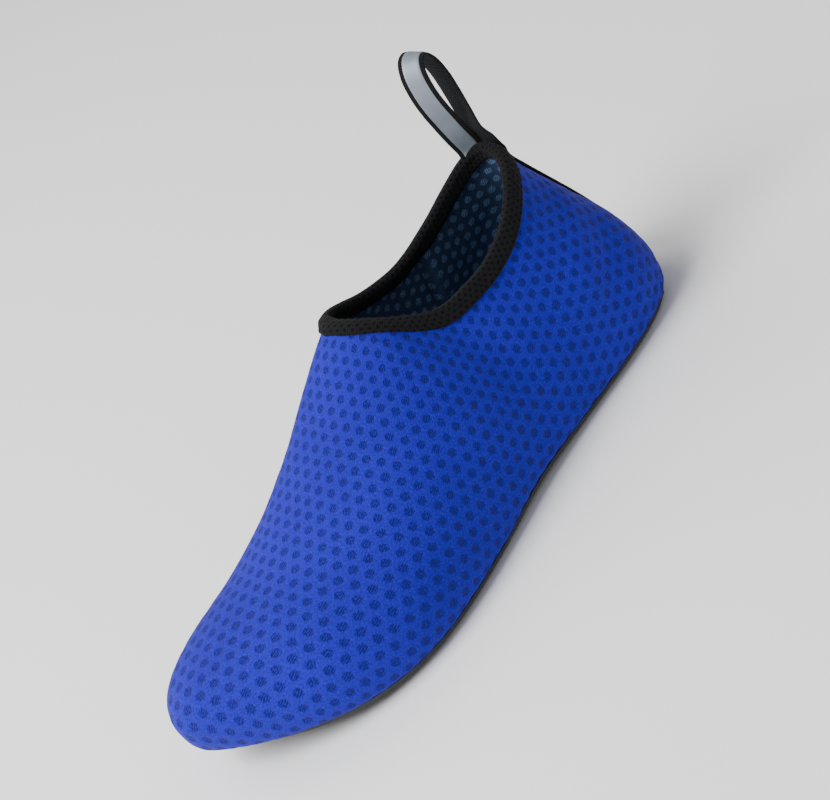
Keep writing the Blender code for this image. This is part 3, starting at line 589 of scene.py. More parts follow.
def new_piece(name, verts, faces, materials, places=None, sharp=None):
    """A smooth-shaded mesh; places gives a flat place for each face corner."""
    mesh = bpy.data.meshes.new(name)
    mesh.from_pydata([tuple(v) for v in verts], [], faces)
    if places is not None:
        corners = np.array([spot for ring in places for spot in ring], np.float32)
        mesh.uv_layers.new(name="fabric").data.foreach_set("uv", corners.ravel())
    for finish in materials:
        mesh.materials.append(finish)
    mesh.shade_smooth()
    if sharp is not None:
        mesh.set_sharp_from_angle(angle=sharp)
    mesh.validate()
    obj = bpy.data.objects.new(name, mesh)
    bpy.context.collection.objects.link(obj)
    return obj


def sweep(sections, closed, laps, spans):
    """Faces and flat places of a strip of closed sections; laps and spans are its distances."""
    rows, count = len(sections), len(sections[0])
    faces, places = [], []
    for i in range(rows if closed else rows - 1):
        a, b = i * count, ((i + 1) % rows) * count
        for j in range(count):
            k = (j + 1) % count
            faces.append((a + j, a + k, b + k, b + j))
            places.append(((laps[i], spans[i][j]), (laps[i], spans[i][j + 1]),
                           (laps[i + 1], spans[i + 1][j + 1]), (laps[i + 1], spans[i + 1][j])))
    if not closed:
        last = (rows - 1) * count
        faces.append(tuple(reversed(range(count))))
        faces.append(tuple(last + j for j in range(count)))
        places.append([(laps[0], spans[0][j]) for j in reversed(range(count))])
        places.append([(laps[-1], spans[-1][j]) for j in range(count)])
    return faces, places


def distances(points, closed=False):
    """Distance along a polyline at each of its points, and at its return if it is closed."""
    pts = np.vstack([points, points[:1]]) if closed else np.asarray(points)
    return np.concatenate([[0.0], np.cumsum(np.linalg.norm(np.diff(pts, axis=0), axis=1))])


def turn_outward(obj):
    """Face a closed mesh outward."""
    bm = bmesh.new()
    bm.from_mesh(obj.data)
    bmesh.ops.recalc_face_normals(bm, faces=bm.faces)
    bm.to_mesh(obj.data)
    bm.free()


# Shader wires


class Wire:
    """A socket of a material's nodes that takes part in Python expressions."""

    def __init__(self, tree, socket=None):
        self.tree = tree
        self.socket = socket

    def node(self, kind, inputs=None, output=0, **settings):
        """Any node: its settings are set first, then the values or wires of its sockets."""
        made = self.tree.nodes.new(kind)
        for name, value in settings.items():
            setattr(made, name, value)
        for key, value in (inputs or {}).items():
            socket = made.inputs[key]
            if isinstance(value, Wire):
                self.tree.links.new(value.socket, socket)
            else:
                socket.default_value = value
        return Wire(self.tree, made.outputs[output])

    def maths(self, operation, *values):
        return self.node("ShaderNodeMath", dict(enumerate(values)), operation=operation)

    def __add__(self, other):
        return self.maths("ADD", self, other)

    def __radd__(self, other):
        return self.maths("ADD", other, self)

    def __sub__(self, other):
        return self.maths("SUBTRACT", self, other)

    def __rsub__(self, other):
        return self.maths("SUBTRACT", other, self)

    def __mul__(self, other):
        return self.maths("MULTIPLY", self, other)

    def smooth(self, low, high):
        """0 below low and 1 above high, smooth between."""
        return self.node(
            "ShaderNodeMapRange", {"Value": self, "From Min": low, "From Max": high},
            interpolation_type="SMOOTHSTEP",
        )

    def sine(self):
        return self.maths("SINE", self)

    def cosine(self):
        return self.maths("COSINE", self)

    def wave(self, period):
        """Rises and falls between 0 and 1 over each period."""
        return (self * (2 * math.pi / period)).sine() * 0.5 + 0.5

    def least(self, other):
        return self.maths("MINIMUM", self, other)

    def moved(self, step):
        """A vector with another added."""
        return self.node("ShaderNodeVectorMath", {0: self, 1: step}, operation="ADD")

    def stretched(self, factors):
        """A vector multiplied by another."""
        return self.node("ShaderNodeVectorMath", {0: self, 1: factors}, operation="MULTIPLY")

    def wrapped(self, half):
        """A vector brought back to the cell of that half size round the origin."""
        low = tuple(-h for h in half)
        return self.node("ShaderNodeVectorMath", {0: self, 1: half, 2: low}, operation="WRAP")

    def length(self):
        return self.node("ShaderNodeVectorMath", {0: self}, output="Value", operation="LENGTH")

    def part(self, axis):
        return self.node("ShaderNodeSeparateXYZ", {0: self}, output=axis)

    def noise(self, scale, detail=2.0, roughness=0.5):
        values = {"Vector": self, "Scale": scale, "Detail": detail, "Roughness": roughness}
        return self.node("ShaderNodeTexNoise", values)

    def tint(self, dark, light):
        """A colour from dark at 0 to light at 1."""
        start = dark if isinstance(dark, Wire) else (*dark, 1.0)
        end = light if isinstance(light, Wire) else (*light, 1.0)
        return self.node("ShaderNodeMix", {0: self, 6: start, 7: end}, output=2, data_type="RGBA")


def new_finish(name, roughness, **constants):
    """A material and the start of its wires; constants are set on the shader's own sockets."""
    made = bpy.data.materials.new(name)
    made.use_nodes = True
    shader = made.node_tree.nodes["Principled BSDF"]
    shader.inputs["Roughness"].default_value = roughness
    for key, value in constants.items():
        shader.inputs[key.replace("_", " ")].default_value = value
    return made, Wire(made.node_tree)


def scaled(colour, factor, lift=0.0):
    """A colour made lighter or darker."""
    return tuple(min(c * factor + lift, 1.0) for c in colour)


def dress(made, colour=None, roughness=None, height=None, distance=0.0):
    """Link a material's colour, roughness and relief."""
    tree = made.node_tree
    shader = tree.nodes["Principled BSDF"]
    if colour is not None:
        tree.links.new(colour.socket, shader.inputs["Base Color"])
    if roughness is not None:
        tree.links.new(roughness.socket, shader.inputs["Roughness"])
    if height is not None:
        bump = height.node("ShaderNodeBump", {"Height": height, "Distance": distance, "Strength": 1.0})
        tree.links.new(bump.socket, shader.inputs["Normal"])


# Sizes and colours that a user may change


def metres(name, description, default):
    """A length that a user may change."""
    return bpy.props.FloatProperty(name=name, description=description, default=default, unit="LENGTH")


def paint(name, description, default):
    """A colour that a user may change."""
    return bpy.props.FloatVectorProperty(
        name=name, description=description, default=default, size=3, subtype="COLOR")


class SHOE_PG_cloth(bpy.types.PropertyGroup):
    """Knitted cloth of the shell."""

    pitch: metres("Dot pitch", "Distance between neighbouring dots", 0.0056)
    dot: metres("Dot diameter", "Width of a dot", 0.0035)
    relief: metres("Relief", "Depth of the dimples", 0.00022)
    ground: paint("Cloth", "Colour between the dots", (0.0060, 0.0030, 0.315))
    mark: paint("Dots", "Colour of the dots", (0.0014, 0.0024, 0.080))
    lining: paint("Lining", "Colour of the inner face", (0.030, 0.056, 0.130))
    lining_mark: paint("Lining dots", "Colour of the dots on the inner face", (0.180, 0.300, 0.520))


class SHOE_PG_trim(bpy.types.PropertyGroup):
    """Binding, webbing and stripe."""

    flap: metres("Binding flap", "Height of the binding's flaps", 0.0050)
    puff: metres("Binding puff", "How far the binding swells", 0.0002)
    tape: metres("Tape width", "Width of the pull tape", 0.0096)
    stripe: metres("Stripe width", "Width of the reflective stripe", 0.0062)
    elastic: paint("Elastic", "Colour of the binding", (0.0032, 0.0032, 0.0040))
    webbing: paint("Webbing", "Colour of the tape", (0.0040, 0.0045, 0.0055))
    silver: paint("Stripe", "Colour of the reflective stripe", (0.250, 0.285, 0.335))


class SHOE_PG_sole(bpy.types.PropertyGroup):
    """Rubber sole and insole."""

    rubber: paint("Rubber", "Colour of the sole", (0.020, 0.022, 0.026))
    foam: paint("Insole", "Colour of the insole", (0.030, 0.050, 0.110))


# Materials

# Lengths in the finishes: the dots' ragged rims, yarn marks, the binding's cells and pits,
# ribs and weaves (metres)
DOT_WANDER = 0.0012
DOT_RAGGED = 0.0014
YARN_STEP = 0.00075
PIT_CELL = (0.00125, 0.00165, 1.0)
PIT_RAGGED = 0.0009
PIT_CORE = 0.00025
PIT_RIM = 0.00080
ELASTIC_RIB = 0.00050
WEB_RIB = 0.00072
WEB_TWIST = 0.00110
WEAVE = 0.0011


def staggered(cloth, half):
    """Offsets from the nearest centres of both sets of a staggered lattice."""
    return cloth.wrapped(half), cloth.moved((half[0], half[1], 0.0)).wrapped(half)


def dot_lattice(cloth, pitch):
    """Offset from the nearest centre of a triangular lattice, and its length."""
    first, second = staggered(cloth, (pitch / 2, pitch * math.sqrt(3.0) / 2, 1.0))
    nearer = cloth.maths("LESS_THAN", second.length(), first.length())
    offset = cloth.node("ShaderNodeMix", {0: nearer, 4: first, 5: second}, output=1, data_type="VECTOR")
    return offset, first.length().least(second.length())


def knit_finish(name, ground_colour, mark_colour, roughness, sheen, sheen_tint):
    """Knitted cloth: a lattice of dots, each a rosette of short yarn marks, on a fine nap."""
    sizes = bpy.context.scene.shoe_cloth
    made, start = new_finish(
        name, roughness, Sheen_Weight=sheen, Sheen_Roughness=0.45, Specular_IOR_Level=0.25,
        Sheen_Tint=sheen_tint)
    cloth = start.node("ShaderNodeUVMap", uv_map="fabric")
    noise = {"Vector": cloth, "Scale": 60.0, "Detail": 1.0}
    drift = cloth.node("ShaderNodeTexNoise", noise, output="Color")
    wander = drift.moved((-0.5, -0.5, -0.5)).stretched((DOT_WANDER, DOT_WANDER, 0.0))
    offset, reach = dot_lattice(cloth.moved(wander), sizes.pitch)
    radius = sizes.dot / 2
    ragged = (cloth.noise(1500.0, 2.0) - 0.5) * DOT_RAGGED
    dot = 1.0 - (reach + ragged).smooth(radius * 0.70, radius * 1.08)
    yarn = cloth.stretched((1.0, 0.50, 1.0)).noise(2500.0, 1.0)
    weft = (offset.part("X") * (2 * math.pi / YARN_STEP)).cosine()
    strokes = (weft * 0.12 + yarn).smooth(0.38, 0.62)
    nap = cloth.stretched((1.0, 0.6, 1.0)).noise(1900.0, 3.0, 0.65)
    cloud = cloth.noise(22.0, 2.0)
    shade = ((nap - 0.5) * 1.3 + (cloud - 0.5) * 0.30 + 0.5).smooth(0.2, 0.8)
    ground_tint = shade.tint(scaled(ground_colour, 0.66), scaled(ground_colour, 1.50, 0.006))
    colour = (dot * (0.18 + strokes * 0.82)).tint(ground_tint, mark_colour)
    height = (1.0 - dot) * 0.55 - strokes * dot * 0.25 + nap * 0.32
    dress(made, colour, (nap - 0.5) * 0.12 + roughness, height, sizes.relief * 1.6)
    return made


def elastic_finish():
    """Knitted elastic: fine ribs across the band and rows of small pits along it."""
    elastic = bpy.context.scene.shoe_trim.elastic
    made, start = new_finish(
        "elastic_band", 0.92, Sheen_Weight=0.03, Sheen_Roughness=0.5, Specular_IOR_Level=0.12)
    band = start.node("ShaderNodeUVMap", uv_map="fabric")
    first, second = staggered(band, PIT_CELL)
    ragged = (band.noise(1400.0, 2.0) - 0.5) * PIT_RAGGED
    pit = 1.0 - (first.length().least(second.length()) + ragged).smooth(PIT_CORE, PIT_RIM)
    ribs = band.part("X").wave(ELASTIC_RIB)
    fibre = band.stretched((1.0, 0.3, 1.0)).noise(6500.0, 3.0, 0.65)
    # painted highlights: the yarn colour is lighter on the rib crests; the fibre noise adds random tone
    shade = (ribs * 0.30 + fibre * 0.85).smooth(0.30, 0.90)
    yarn = shade.tint(scaled(elastic, 0.6), scaled(elastic, 2.8, 0.004))
    height = ribs * 0.25 + fibre * 0.5 - pit * 0.9
    # painted shade: the pits are coloured near black, as shade falls into them
    dress(made, pit.tint(yarn, scaled(elastic, 0.2)), None, height, 0.0003)
    return made


def webbing_finish():
    """Woven webbing: ribs across the tape, crossed by a slant."""
    webbing = bpy.context.scene.shoe_trim.webbing
    made, start = new_finish(
        "tape_webbing", 0.85, Sheen_Weight=0.02, Sheen_Roughness=0.4, Specular_IOR_Level=0.18)
    tape = start.node("ShaderNodeUVMap", uv_map="fabric")
    along, across = tape.part("X"), tape.part("Y")
    ribs = along.wave(WEB_RIB)
    slant = (across * (2 * math.pi / WEB_TWIST) + along * (math.pi / WEB_RIB)).sine() * 0.5 + 0.5
    fibre = tape.stretched((1.0, 0.4, 1.0)).noise(6000.0, 3.0, 0.6)
    # painted highlights: the webbing is lighter where the ribs and the slant rise; the fibre noise adds
    # random tone
    shade = (ribs * 0.45 + slant * 0.15 + fibre * 0.6).smooth(0.25, 0.95)
    colour = shade.tint(scaled(webbing, 0.45), scaled(webbing, 2.4, 0.003))
    dress(made, colour, None, ribs * 0.6 + slant * 0.2 + fibre * 0.3, 0.00035)
    return made


def silver_finish():
    """Reflective foil: grey glass beads, a little scuffed."""
    silver = bpy.context.scene.shoe_trim.silver
    made, start = new_finish("silver_foil", 0.42, Metallic=0.35, Specular_IOR_Level=0.5)
    tape = start.node("ShaderNodeUVMap", uv_map="fabric")
    beads = tape.noise(9000.0, 2.0, 0.7)
    cloud = tape.stretched((1.0, 2.0, 1.0)).noise(140.0, 3.0)
    scuff = tape.stretched((0.35, 1.0, 1.0)).noise(700.0, 3.0, 0.6).smooth(0.66, 0.78)
    shade = ((beads - 0.5) * 0.5 + cloud * 0.5 + 0.25).smooth(0.1, 0.9)
    tone = shade.tint(scaled(silver, 0.86), scaled(silver, 1.12))
    dress(made, scuff.tint(tone, scaled(silver, 0.6)), beads * 0.15 + 0.36, beads, 0.00006)
    return made


def rubber_finish():
    """Moulded rubber: satin black with a fine grain and faint clouds."""
    rubber = bpy.context.scene.shoe_sole.rubber
    made, start = new_finish("moulded_rubber", 0.55, Specular_IOR_Level=0.45)
    place = start.node("ShaderNodeTexCoord", output="Object")
    grain = place.noise(4200.0, 2.0, 0.6)
    cloud = place.noise(35.0, 3.0)
    shade = ((grain - 0.5) * 0.4 + cloud * 0.7 + 0.15).smooth(0.15, 0.85)
    colour = shade.tint(scaled(rubber, 0.75), scaled(rubber, 1.55, 0.002))
    dress(made, colour, grain * 0.18 + cloud * 0.12 + 0.40, grain, 0.00010)
    return made


def foam_finish():
    """Insole cover: a close plain weave over foam."""
    foam = bpy.context.scene.shoe_sole.foam
    made, start = new_finish("insole_cover", 0.92, Sheen_Weight=0.2, Specular_IOR_Level=0.2)
    place = start.node("ShaderNodeTexCoord", output="Object")
    turn = 2 * math.pi / WEAVE
    weave = (place.part("X") * turn).sine() * (place.part("Y") * turn).sine() * 0.5 + 0.5
    fibre = place.noise(4000.0, 3.0, 0.6)
    # painted highlights: the cover is lighter where the weave rises; the fibre noise adds random tone
    shade = (weave * 0.5 + fibre * 0.6).smooth(0.2, 0.9)
    colour = shade.tint(scaled(foam, 0.6), scaled(foam, 2.0, 0.003))
    dress(made, colour, None, weave * 0.5 + fibre * 0.4, 0.0003)
    return made


def floor_finish():
    """Plain pale floor."""
    made, start = new_finish("pale_floor", 0.8, Specular_IOR_Level=0.1)
    place = start.node("ShaderNodeTexCoord", output="Object")
    dress(made, place.noise(3.0, 2.0).tint((0.93, 0.93, 0.93), (0.96, 0.96, 0.96)))
    return made


# Pieces


def creased(points, normals):
    """Points of the shell with its soft creases pressed in."""
    moved = points.copy()
    for side, y0, z0, y1, z1, width, depth in CREASES:
        start, end = np.array([y0, z0]), np.array([y1, z1])
        run = end - start
        rel = points[:, 1:] - start
        along = np.clip(rel @ run / (run @ run), 0.0, 1.0)
        away = np.linalg.norm(rel - along[:, None] * run, axis=1)
        fade = np.sin(np.pi * np.clip(along, 0.02, 0.98)) ** 0.5
        trough = np.exp(-(away / width) ** 2) - 0.5 * np.exp(-((away - 1.5 * width) / width) ** 2)
        facing = np.clip(normals[:, 0] * side * 2.0, 0.0, 1.0)
        moved -= normals * (depth * trough * fade * facing)[:, None]
    return moved


def grid_normals(points, faces):
    """Unit normals at the points of a mesh."""
    mesh = bpy.data.meshes.new("skin")
    mesh.from_pydata(points.tolist(), [], faces)
    normals = np.zeros(len(points) * 3, np.float32)
    mesh.vertex_normals.foreach_get("vector", normals)
    bpy.data.meshes.remove(mesh)
    return normals.reshape(-1, 3).astype(float)


def shell_mesh():
    """Points, faces and flat places of the shell's dimpled outer face, and the numbers of its points
    round the collar's edge.
    """
    cloth = bpy.context.scene.shoe_cloth
    coarse, coarse_stations = shell_grid(PATTERN_PARTS, PATTERN_PARTS)
    pattern = finer_pattern(
        flat_pattern(coarse, coarse_stations), RIB_PARTS // PATTERN_PARTS, POINT_PARTS // PATTERN_PARTS)
    grid, stations = shell_grid(RIB_PARTS, POINT_PARTS)
    numbers = grid_indices(grid, stations)
    ribs, points = numbers.shape
    numbers = np.vstack([numbers, numbers[:1]])
    faces, places = [], []
    for i in range(ribs):
        for j in range(points - 1):
            corners = ((i, j), (i, j + 1), (i + 1, j + 1), (i + 1, j))
            ring = {int(numbers[c]): tuple(pattern[c]) for c in corners}
            faces.append(list(ring))
            places.append(list(ring.values()))
    verts = grid.reshape(-1, 3)
    used = sorted({k for face in faces for k in face})
    order = {k: n for n, k in enumerate(used)}
    faces = [[order[k] for k in face] for face in faces]
    verts = verts[used]
    spots = pattern[:-1].reshape(-1, 2)[used]
    normals = grid_normals(verts, faces)
    verts = creased(verts, normals)
    wave = 4 * math.pi / (math.sqrt(3.0) * cloth.pitch)
    relief = np.zeros(len(verts))
    for turn in (90.0, 30.0, 150.0):
        way = np.array([math.cos(math.radians(turn)), math.sin(math.radians(turn))])
        relief += np.cos(wave * (spots @ way))
    verts = verts - normals * (cloth.relief * (relief + 1.5) / 4.5)[:, None]
    collar = [n for n in range(ribs) if stations[n] < OPENING_FRONT - SAME]
    throat = int(np.argmax(stations >= OPENING_FRONT - SAME))
    outer = [n for n in collar if n < throat] + [throat]
    inner = [n for n in collar if n > throat]
    border = [order[int(numbers[n, -1])] for n in outer + inner]
    return verts, faces, places, border


def collar_line(verts, border):
    """The collar's edge at equal steps, from the back of the heel, evened out."""
    loop = verts[border]
    line = evenly(np.vstack([loop, loop[:1]]), COLLAR_STEPS + 1)[:-1]
    for _ in range(COLLAR_EVENING):
        line = (line * 2 + np.roll(line, 1, axis=0) + np.roll(line, -1, axis=0)) / 4
    return line


class SHOE_OT_shell(bpy.types.Operator):
    """Knitted shell with its dimples, creases and lining."""

    bl_idname = "shoe.shell"
    bl_label = "Build the shell"

    def execute(self, context):
        cloth = context.scene.shoe_cloth
        verts, faces, places, _ = shell_mesh()
        outside = knit_finish(
            "blue_knit", cloth.ground, tuple(cloth.mark), 0.88, 0.05, (0.55, 0.70, 1.0, 1.0))
        inside = knit_finish(
            "navy_lining", cloth.lining, tuple(cloth.lining_mark), 0.93, 0.04, (0.5, 0.6, 0.8, 1.0))
        shell = new_piece("knit_shell", verts + frame_shift(), faces, (outside, inside), places)
        wall = shell.modifiers.new("Wall", "SOLIDIFY")
        wall.thickness = WALL
        wall.offset = -1.0
        wall.material_offset = 1
        wall.material_offset_rim = 1
        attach(shell, "root")
        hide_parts("upper")
        return {"FINISHED"}


def smoothed(directions, passes):
    """Unit vectors round a closed line, evened out with their neighbours."""
    for _ in range(passes):
        directions = directions + np.roll(directions, 1, axis=0) + np.roll(directions, -1, axis=0)
        directions /= np.linalg.norm(directions, axis=1)[:, None]
    return directions


class SHOE_OT_binding(bpy.types.Operator):
    """Elastic band folded over the collar's edge."""

    bl_idname = "shoe.binding"
    bl_label = "Build the binding"

    def execute(self, context):
        trim = context.scene.shoe_trim
        verts, faces, _, border = shell_mesh()
        tree = BVHTree.FromPolygons(verts.tolist(), faces)
        line = collar_line(verts, border)
        along = np.roll(line, -1, axis=0) - np.roll(line, 1, axis=0)
        along /= np.linalg.norm(along, axis=1)[:, None]
        normals = smoothed(np.array([tree.find_nearest(Vector(p))[1] for p in line]), FOLD_EVENING)
        down = np.cross(along, normals)
        down /= np.linalg.norm(down, axis=1)[:, None]
        if down[0][2] > 0.0:
            down = -down
        skins, lifts = [], []
        close, far = GAP * 0.4, GAP + BINDING_THICKNESS
        for share in np.linspace(0.0, 1.0, FLAP_STEPS + 1)[1:]:
            near = [tree.find_nearest(Vector(point)) for point in line + down * share * trim.flap]
            outs = smoothed(np.array([normal for _, normal, _, _ in near]), FLAP_EVENING)
            skins.append((np.array([hit for hit, _, _, _ in near]), outs))
            roll = max(0.0, (share - FLAP_ROLL_START) / (1.0 - FLAP_ROLL_START)) ** 2
            lifts.append(far - FLAP_ROLL * roll + math.sin(math.pi * share) * trim.puff)
        ring = WALL / 2 + far
        turns = np.radians(np.linspace(0.0, 180.0, FOLD_POINTS))
        sections = []
        for i, (point, out, way) in enumerate(zip(line, normals, down)):
            outside = [hits[i] + outs[i] * lift for (hits, outs), lift in zip(skins, lifts)]
            fold = [point - out * WALL / 2 + (out * math.cos(turn) - way * math.sin(turn)) * ring
                    for turn in turns]
            inside = [hits[i] - outs[i] * (WALL + lift) for (hits, outs), lift in zip(skins, lifts)]
            hit, outward = skins[-1][0][i], skins[-1][1][i]
            back = [hit - outward * (WALL + close), point - out * (WALL + close) + way * LIP,
                    point + out * close + way * LIP, hit + outward * close]
            sections.append(np.array(outside[::-1] + fold + inside + back))
        laps = distances(line, closed=True)
        spans = [distances(section, closed=True) for section in sections]
        spans.append(spans[0])
        band_faces, places = sweep(sections, True, laps, spans)
        band = new_piece(
            "collar_band", np.vstack(sections) + frame_shift(), band_faces, (elastic_finish(),), places,
            sharp=CLOTH_SHARP)
        turn_outward(band)
        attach(band, "root")
        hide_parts("collar_binding")
        return {"FINISHED"}


def tape_path():
    """Line of the tape's inner face, its directions across and outward, and its bow.

    The loop turns and twists to the outer side, and its front strand ends on the collar's
    inner side.
    """
    flap = bpy.context.scene.shoe_trim.flap
    start = np.array([ridge_offset(HEEL_POLE * LENGTH), HEEL_POLE * LENGTH])
    outline, opening = outline_curve(), opening_curve()
    back = rib(start, np.array([0.0, -1.0]), outline, opening, 4)[:, 1:]
    run = evenly(back[back[:, 1] >= SOLE_THICKNESS + TAPE_FOOT], 80)
    along = np.gradient(run, axis=0)
    along /= np.linalg.norm(along, axis=1)[:, None]
    out = np.stack([-along[:, 1], along[:, 0]], -1)
    collar = run[-1]
    below = np.linalg.norm(run - collar, axis=1)
    lifted = below < flap + TAPE_THICKNESS
    bare = below > flap + 3 * TAPE_THICKNESS
    lower = evenly((run + out * GAP)[bare], TAPE_POINTS)
    upper = evenly((run + out * (2 * GAP + BINDING_THICKNESS))[lifted], 4)
    fold = WALL / 2 + GAP + BINDING_THICKNESS
    leave = upper[-1] + along[-1] * fold
    side = np.array([math.sin(LOOP_SIDE), -math.cos(LOOP_SIDE)])
    seat = rib(start, side, outline, opening)[-1]
    seat = seat + np.array([-side[0] * WALL / 2, -side[1] * WALL / 2, fold + GAP])
    loop = [seat[1:] + np.array(row) * LOOP_HEIGHT for row in LOOP[::-1]]
    tucked = seat[1:] - np.array([0.0, TAPE_TUCK])
    path = spline(np.vstack([lower, upper, [leave], loop, [seat[1:]], [tucked]]), TAPE_STEPS)
    heel = np.arange(len(path)) < TAPE_STEPS * (len(lower) + len(upper))
    bow = np.where(heel, TAPE_BOW * np.clip((collar[1] - path[:, 1]) / flap, 0.0, 1.0), 0.0)
    step = np.linalg.norm(np.diff(path, axis=0), axis=1)
    gone = np.cumsum(np.concatenate([[0.0], np.where(heel[1:], 0.0, step)]))
    share = gone / gone[-1]
    turned = np.clip(share / LOOP_YAWED, 0.0, 1.0)
    yaw = LOOP_YAW * turned**2 * (3 - 2 * turned)
    pivot = seat[1] - LOOP_PIVOT
    shift = seat[0] - start[0] + LOOP_PIVOT * math.sin(LOOP_YAW)
    rel = path[:, 0] - pivot
    points = np.column_stack([
        start[0] - rel * np.sin(yaw) + shift * share, pivot + rel * np.cos(yaw), path[:, 1],
    ])
    along = np.gradient(path, axis=0)
    along /= np.linalg.norm(along, axis=1)[:, None]
    level = np.zeros(len(path))
    inward = np.column_stack([np.cos(yaw), np.sin(yaw), level])
    out = np.column_stack([along[:, 1] * np.sin(yaw), -along[:, 1] * np.cos(yaw), along[:, 0]])
    twist = (LOOP_TWIST * share)[:, None]
    across = inward * np.cos(twist) + out * np.sin(twist)
    facing = out * np.cos(twist) - inward * np.sin(twist)
    return points, across, facing, bow


def strip(name, line, profile, finish, sharp, bow_share=1.0):
    """A closed strip along the tape's line; the profile is (across, height)."""
    points, across, facing, bow = line
    half = max(abs(side) for side, _ in profile)
    sections = [
        np.array([point + over * side + out * (height - drop * bow_share * (side / half) ** 2)
                  for side, height in profile])
        for point, over, out, drop in zip(points, across, facing, bow)
    ]
    spans = [distances(section, closed=True) for section in sections]
    faces, places = sweep(sections, False, distances(points), spans)
    obj = new_piece(name, np.vstack(sections) + frame_shift(), faces, (finish,), places, sharp=sharp)
    turn_outward(obj)
    return obj


class SHOE_OT_tape(bpy.types.Operator):
    """Webbing up the back of the heel with its pull loop and reflective stripe."""

    bl_idname = "shoe.tape"
    bl_label = "Build the pull tape"

    def execute(self, context):
        trim = context.scene.shoe_trim
        line = tape_path()
        thick = TAPE_THICKNESS
        side = trim.tape / 2 - thick / 2
        flat = np.linspace(-side, side, TAPE_FLAT_POINTS)
        rim = [(side + thick / 2 * math.cos(turn), thick / 2 * (1 + math.sin(turn)))
               for turn in np.radians(np.linspace(-60.0, 60.0, TAPE_RIM_POINTS))]
        profile = [(x, 0.0) for x in flat] + rim
        profile += [(-x, thick - height) for x, height in profile]
        tape = strip("pull_webbing", line, profile, webbing_finish(), CLOTH_SHARP)
        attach(tape, "root")
        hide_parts("pull_tape")
        stripe = trim.stripe / 2
        edge = thick + STRIPE_RISE * STRIPE_EDGE
        profile = [(-stripe, thick - STRIPE_RISE), (stripe, thick - STRIPE_RISE), (stripe, edge)]
        profile += [(x, thick + STRIPE_RISE)
                    for x in np.linspace(stripe * STRIPE_ROUNDING, -stripe * STRIPE_ROUNDING, 9)]
        profile.append((-stripe, edge))
        bow_share = (trim.stripe / trim.tape) ** 2
        foil = strip("reflective_stripe", line, profile, silver_finish(), PLATE_SHARP, bow_share)
        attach(foil, "root")
        return {"FINISHED"}


class SHOE_OT_sole(bpy.types.Operator):
    """Rubber finish of the outsole and the covered foam insole."""

    bl_idname = "shoe.sole"
    bl_label = "Finish the sole and build the insole"

    def execute(self, context):
        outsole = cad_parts["outsole"]
        outsole.material_slots[0].material = rubber_finish()
        seat = SOLE_THICKNESS + GAP
        ledge = seat + WALL + 2 * GAP
        inner = TURN_UNDER + LASTING_MARGIN + INSOLE_CLEARANCE
        outer = TURN_UNDER + WALL + INSOLE_CLEARANCE
        top = ledge + INSOLE_THICKNESS
        layers = [
            (inner, seat), (inner, ledge), (outer, ledge), (outer, top - INSOLE_ROUND),
            (outer + 0.0003, top - INSOLE_CROWN), (outer + 0.0010, top),
            (outer + INSOLE_FLAT, top - INSOLE_CROWN),
        ]
        count = INSOLE_STEPS
        verts, faces = [], []
        for inset, height in layers:
            verts += [(px, py, height + ground(py)) for px, py in outline_ring(inset, count)]
        size = 2 * count
        for level in range(len(layers) - 1):
            a, b = level * size, (level + 1) * size
            for i in range(size):
                j = (i + 1) % size
                faces.append((a + i, a + j, b + j, b + i))
        for base in (0, (len(layers) - 1) * size):
            for i in range(count):
                rung = (base + i, base + i + 1, base + (size - i - 1) % size, base + (size - i) % size)
                faces.append(tuple(dict.fromkeys(rung)))
        insole = new_piece("insole_pad", np.array(verts) + frame_shift(), faces, (foam_finish(),),
                           sharp=PLATE_SHARP)
        turn_outward(insole)
        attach(insole, "root")
        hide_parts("insole")
        return {"FINISHED"}


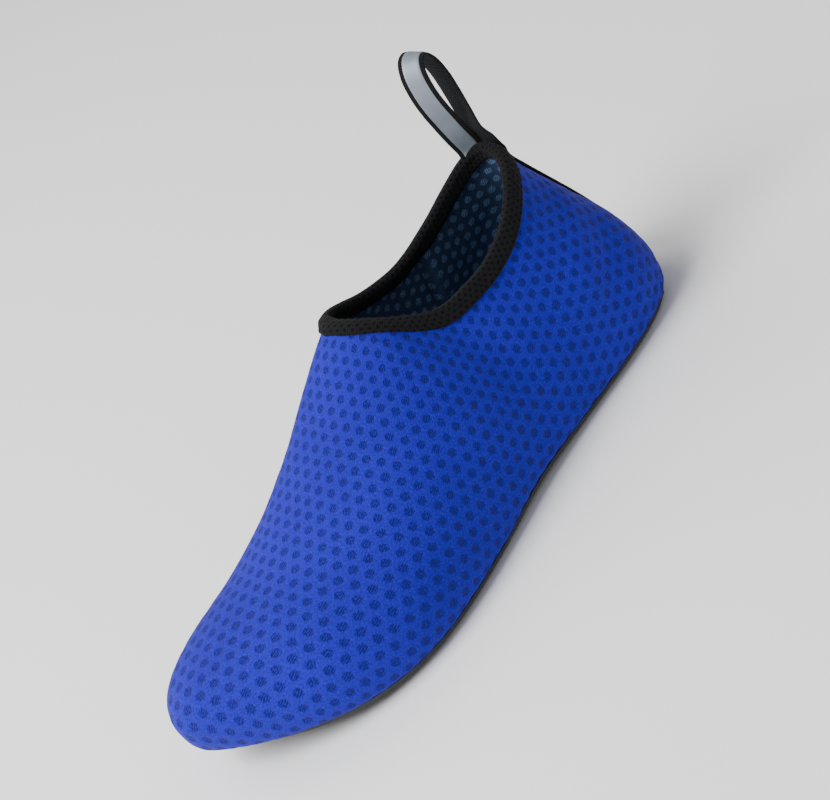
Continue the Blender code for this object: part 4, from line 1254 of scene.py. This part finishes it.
class SHOE_OT_stage(bpy.types.Operator):
    """Pale floor, soft lights and the camera."""

    bl_idname = "shoe.stage"
    bl_label = "Set the stage"

    def execute(self, context):
        self.camera(context)
        corners = [(-FLOOR_HALF, -FLOOR_HALF, 0.0), (FLOOR_HALF, -FLOOR_HALF, 0.0),
                   (FLOOR_HALF, FLOOR_HALF, 0.0), (-FLOOR_HALF, FLOOR_HALF, 0.0)]
        mesh = bpy.data.meshes.new("floor")
        mesh.from_pydata(corners, [], [(0, 1, 2, 3)])
        mesh.materials.append(floor_finish())
        floor = bpy.data.objects.new("floor", mesh)
        context.collection.objects.link(floor)
        for light in LIGHTS:
            self.light(*light)
        world = context.scene.world or bpy.data.worlds.new("studio")
        context.scene.world = world
        world.use_nodes = True
        sky = world.node_tree.nodes["Background"]
        sky.inputs["Color"].default_value = (1.0, 1.0, 1.0, 1.0)
        sky.inputs["Strength"].default_value = SKY_STRENGTH
        return {"FINISHED"}

    def light(self, name, place, size, power):
        """A square soft light that faces the shoe."""
        data = bpy.data.lights.new(name, "AREA")
        data.size = size
        data.energy = power
        lamp = bpy.data.objects.new(name, data)
        bpy.context.collection.objects.link(lamp)
        lamp.location = place
        lamp.rotation_euler = (LIGHT_AIM - lamp.location).to_track_quat("-Z", "Y").to_euler()

    def camera(self, context):
        """The camera at the photograph's angle, rolled, aimed so that the shoe fills the frame."""
        data = bpy.data.cameras.new("camera")
        camera = bpy.data.objects.new("camera", data)
        context.collection.objects.link(camera)
        turn, rise, roll = CAMERA_TURN, CAMERA_RISE, CAMERA_ROLL
        back = Vector((math.sin(turn) * math.cos(rise), -math.cos(turn) * math.cos(rise), math.sin(rise)))
        right = Vector((math.cos(turn), math.sin(turn), 0.0))
        up = back.cross(right)
        rolled_right = right * math.cos(roll) - up * math.sin(roll)
        rolled_up = right * math.sin(roll) + up * math.cos(roll)
        target = Vector(CAMERA_TARGET) + Vector(frame_shift())
        place = target + back * CAMERA_DISTANCE
        aim = target + rolled_right * CAMERA_AIM_RIGHT + rolled_up * CAMERA_AIM_UP
        axis = (place - aim).normalized()
        side = rolled_up.cross(axis).normalized()
        top = axis.cross(side)
        pose = Matrix((side, top, axis)).transposed().to_4x4()
        pose.translation = place
        camera.matrix_world = pose
        data.sensor_width = SENSOR_WIDTH
        data.lens = CAMERA_FOCAL_PIXELS * SENSOR_WIDTH / FRAME_WIDTH
        data.clip_start = 0.01
        context.scene.camera = camera


class SHOE_PT_panel(bpy.types.Panel):
    """Sizes, colours and steps of the shoe."""

    bl_idname = "SHOE_PT_panel"
    bl_label = "Water shoe"
    bl_space_type = "VIEW_3D"
    bl_region_type = "UI"
    bl_category = "Shoe"

    def draw(self, context):
        for group in (context.scene.shoe_cloth, context.scene.shoe_trim, context.scene.shoe_sole):
            for name in group.__annotations__:
                self.layout.prop(group, name)
        for step in STEPS:
            self.layout.operator(step.bl_idname)


STEPS = (SHOE_OT_shell, SHOE_OT_binding, SHOE_OT_tape, SHOE_OT_sole, SHOE_OT_stage)
GROUPS = {"shoe_cloth": SHOE_PG_cloth, "shoe_trim": SHOE_PG_trim, "shoe_sole": SHOE_PG_sole}


def register():
    for group in GROUPS.values():
        bpy.utils.register_class(group)
    for name, group in GROUPS.items():
        setattr(bpy.types.Scene, name, bpy.props.PointerProperty(type=group))
    for step in STEPS:
        bpy.utils.register_class(step)
    bpy.utils.register_class(SHOE_PT_panel)


def unregister():
    bpy.utils.unregister_class(SHOE_PT_panel)
    for step in reversed(STEPS):
        bpy.utils.unregister_class(step)
    for name, group in GROUPS.items():
        delattr(bpy.types.Scene, name)
        bpy.utils.unregister_class(group)


def main():
    register()
    bpy.ops.shoe.shell()
    bpy.ops.shoe.binding()
    bpy.ops.shoe.tape()
    bpy.ops.shoe.sole()
    bpy.ops.shoe.stage()
    bpy.context.view_layer.update()


if __name__ == "__main__":
    main()
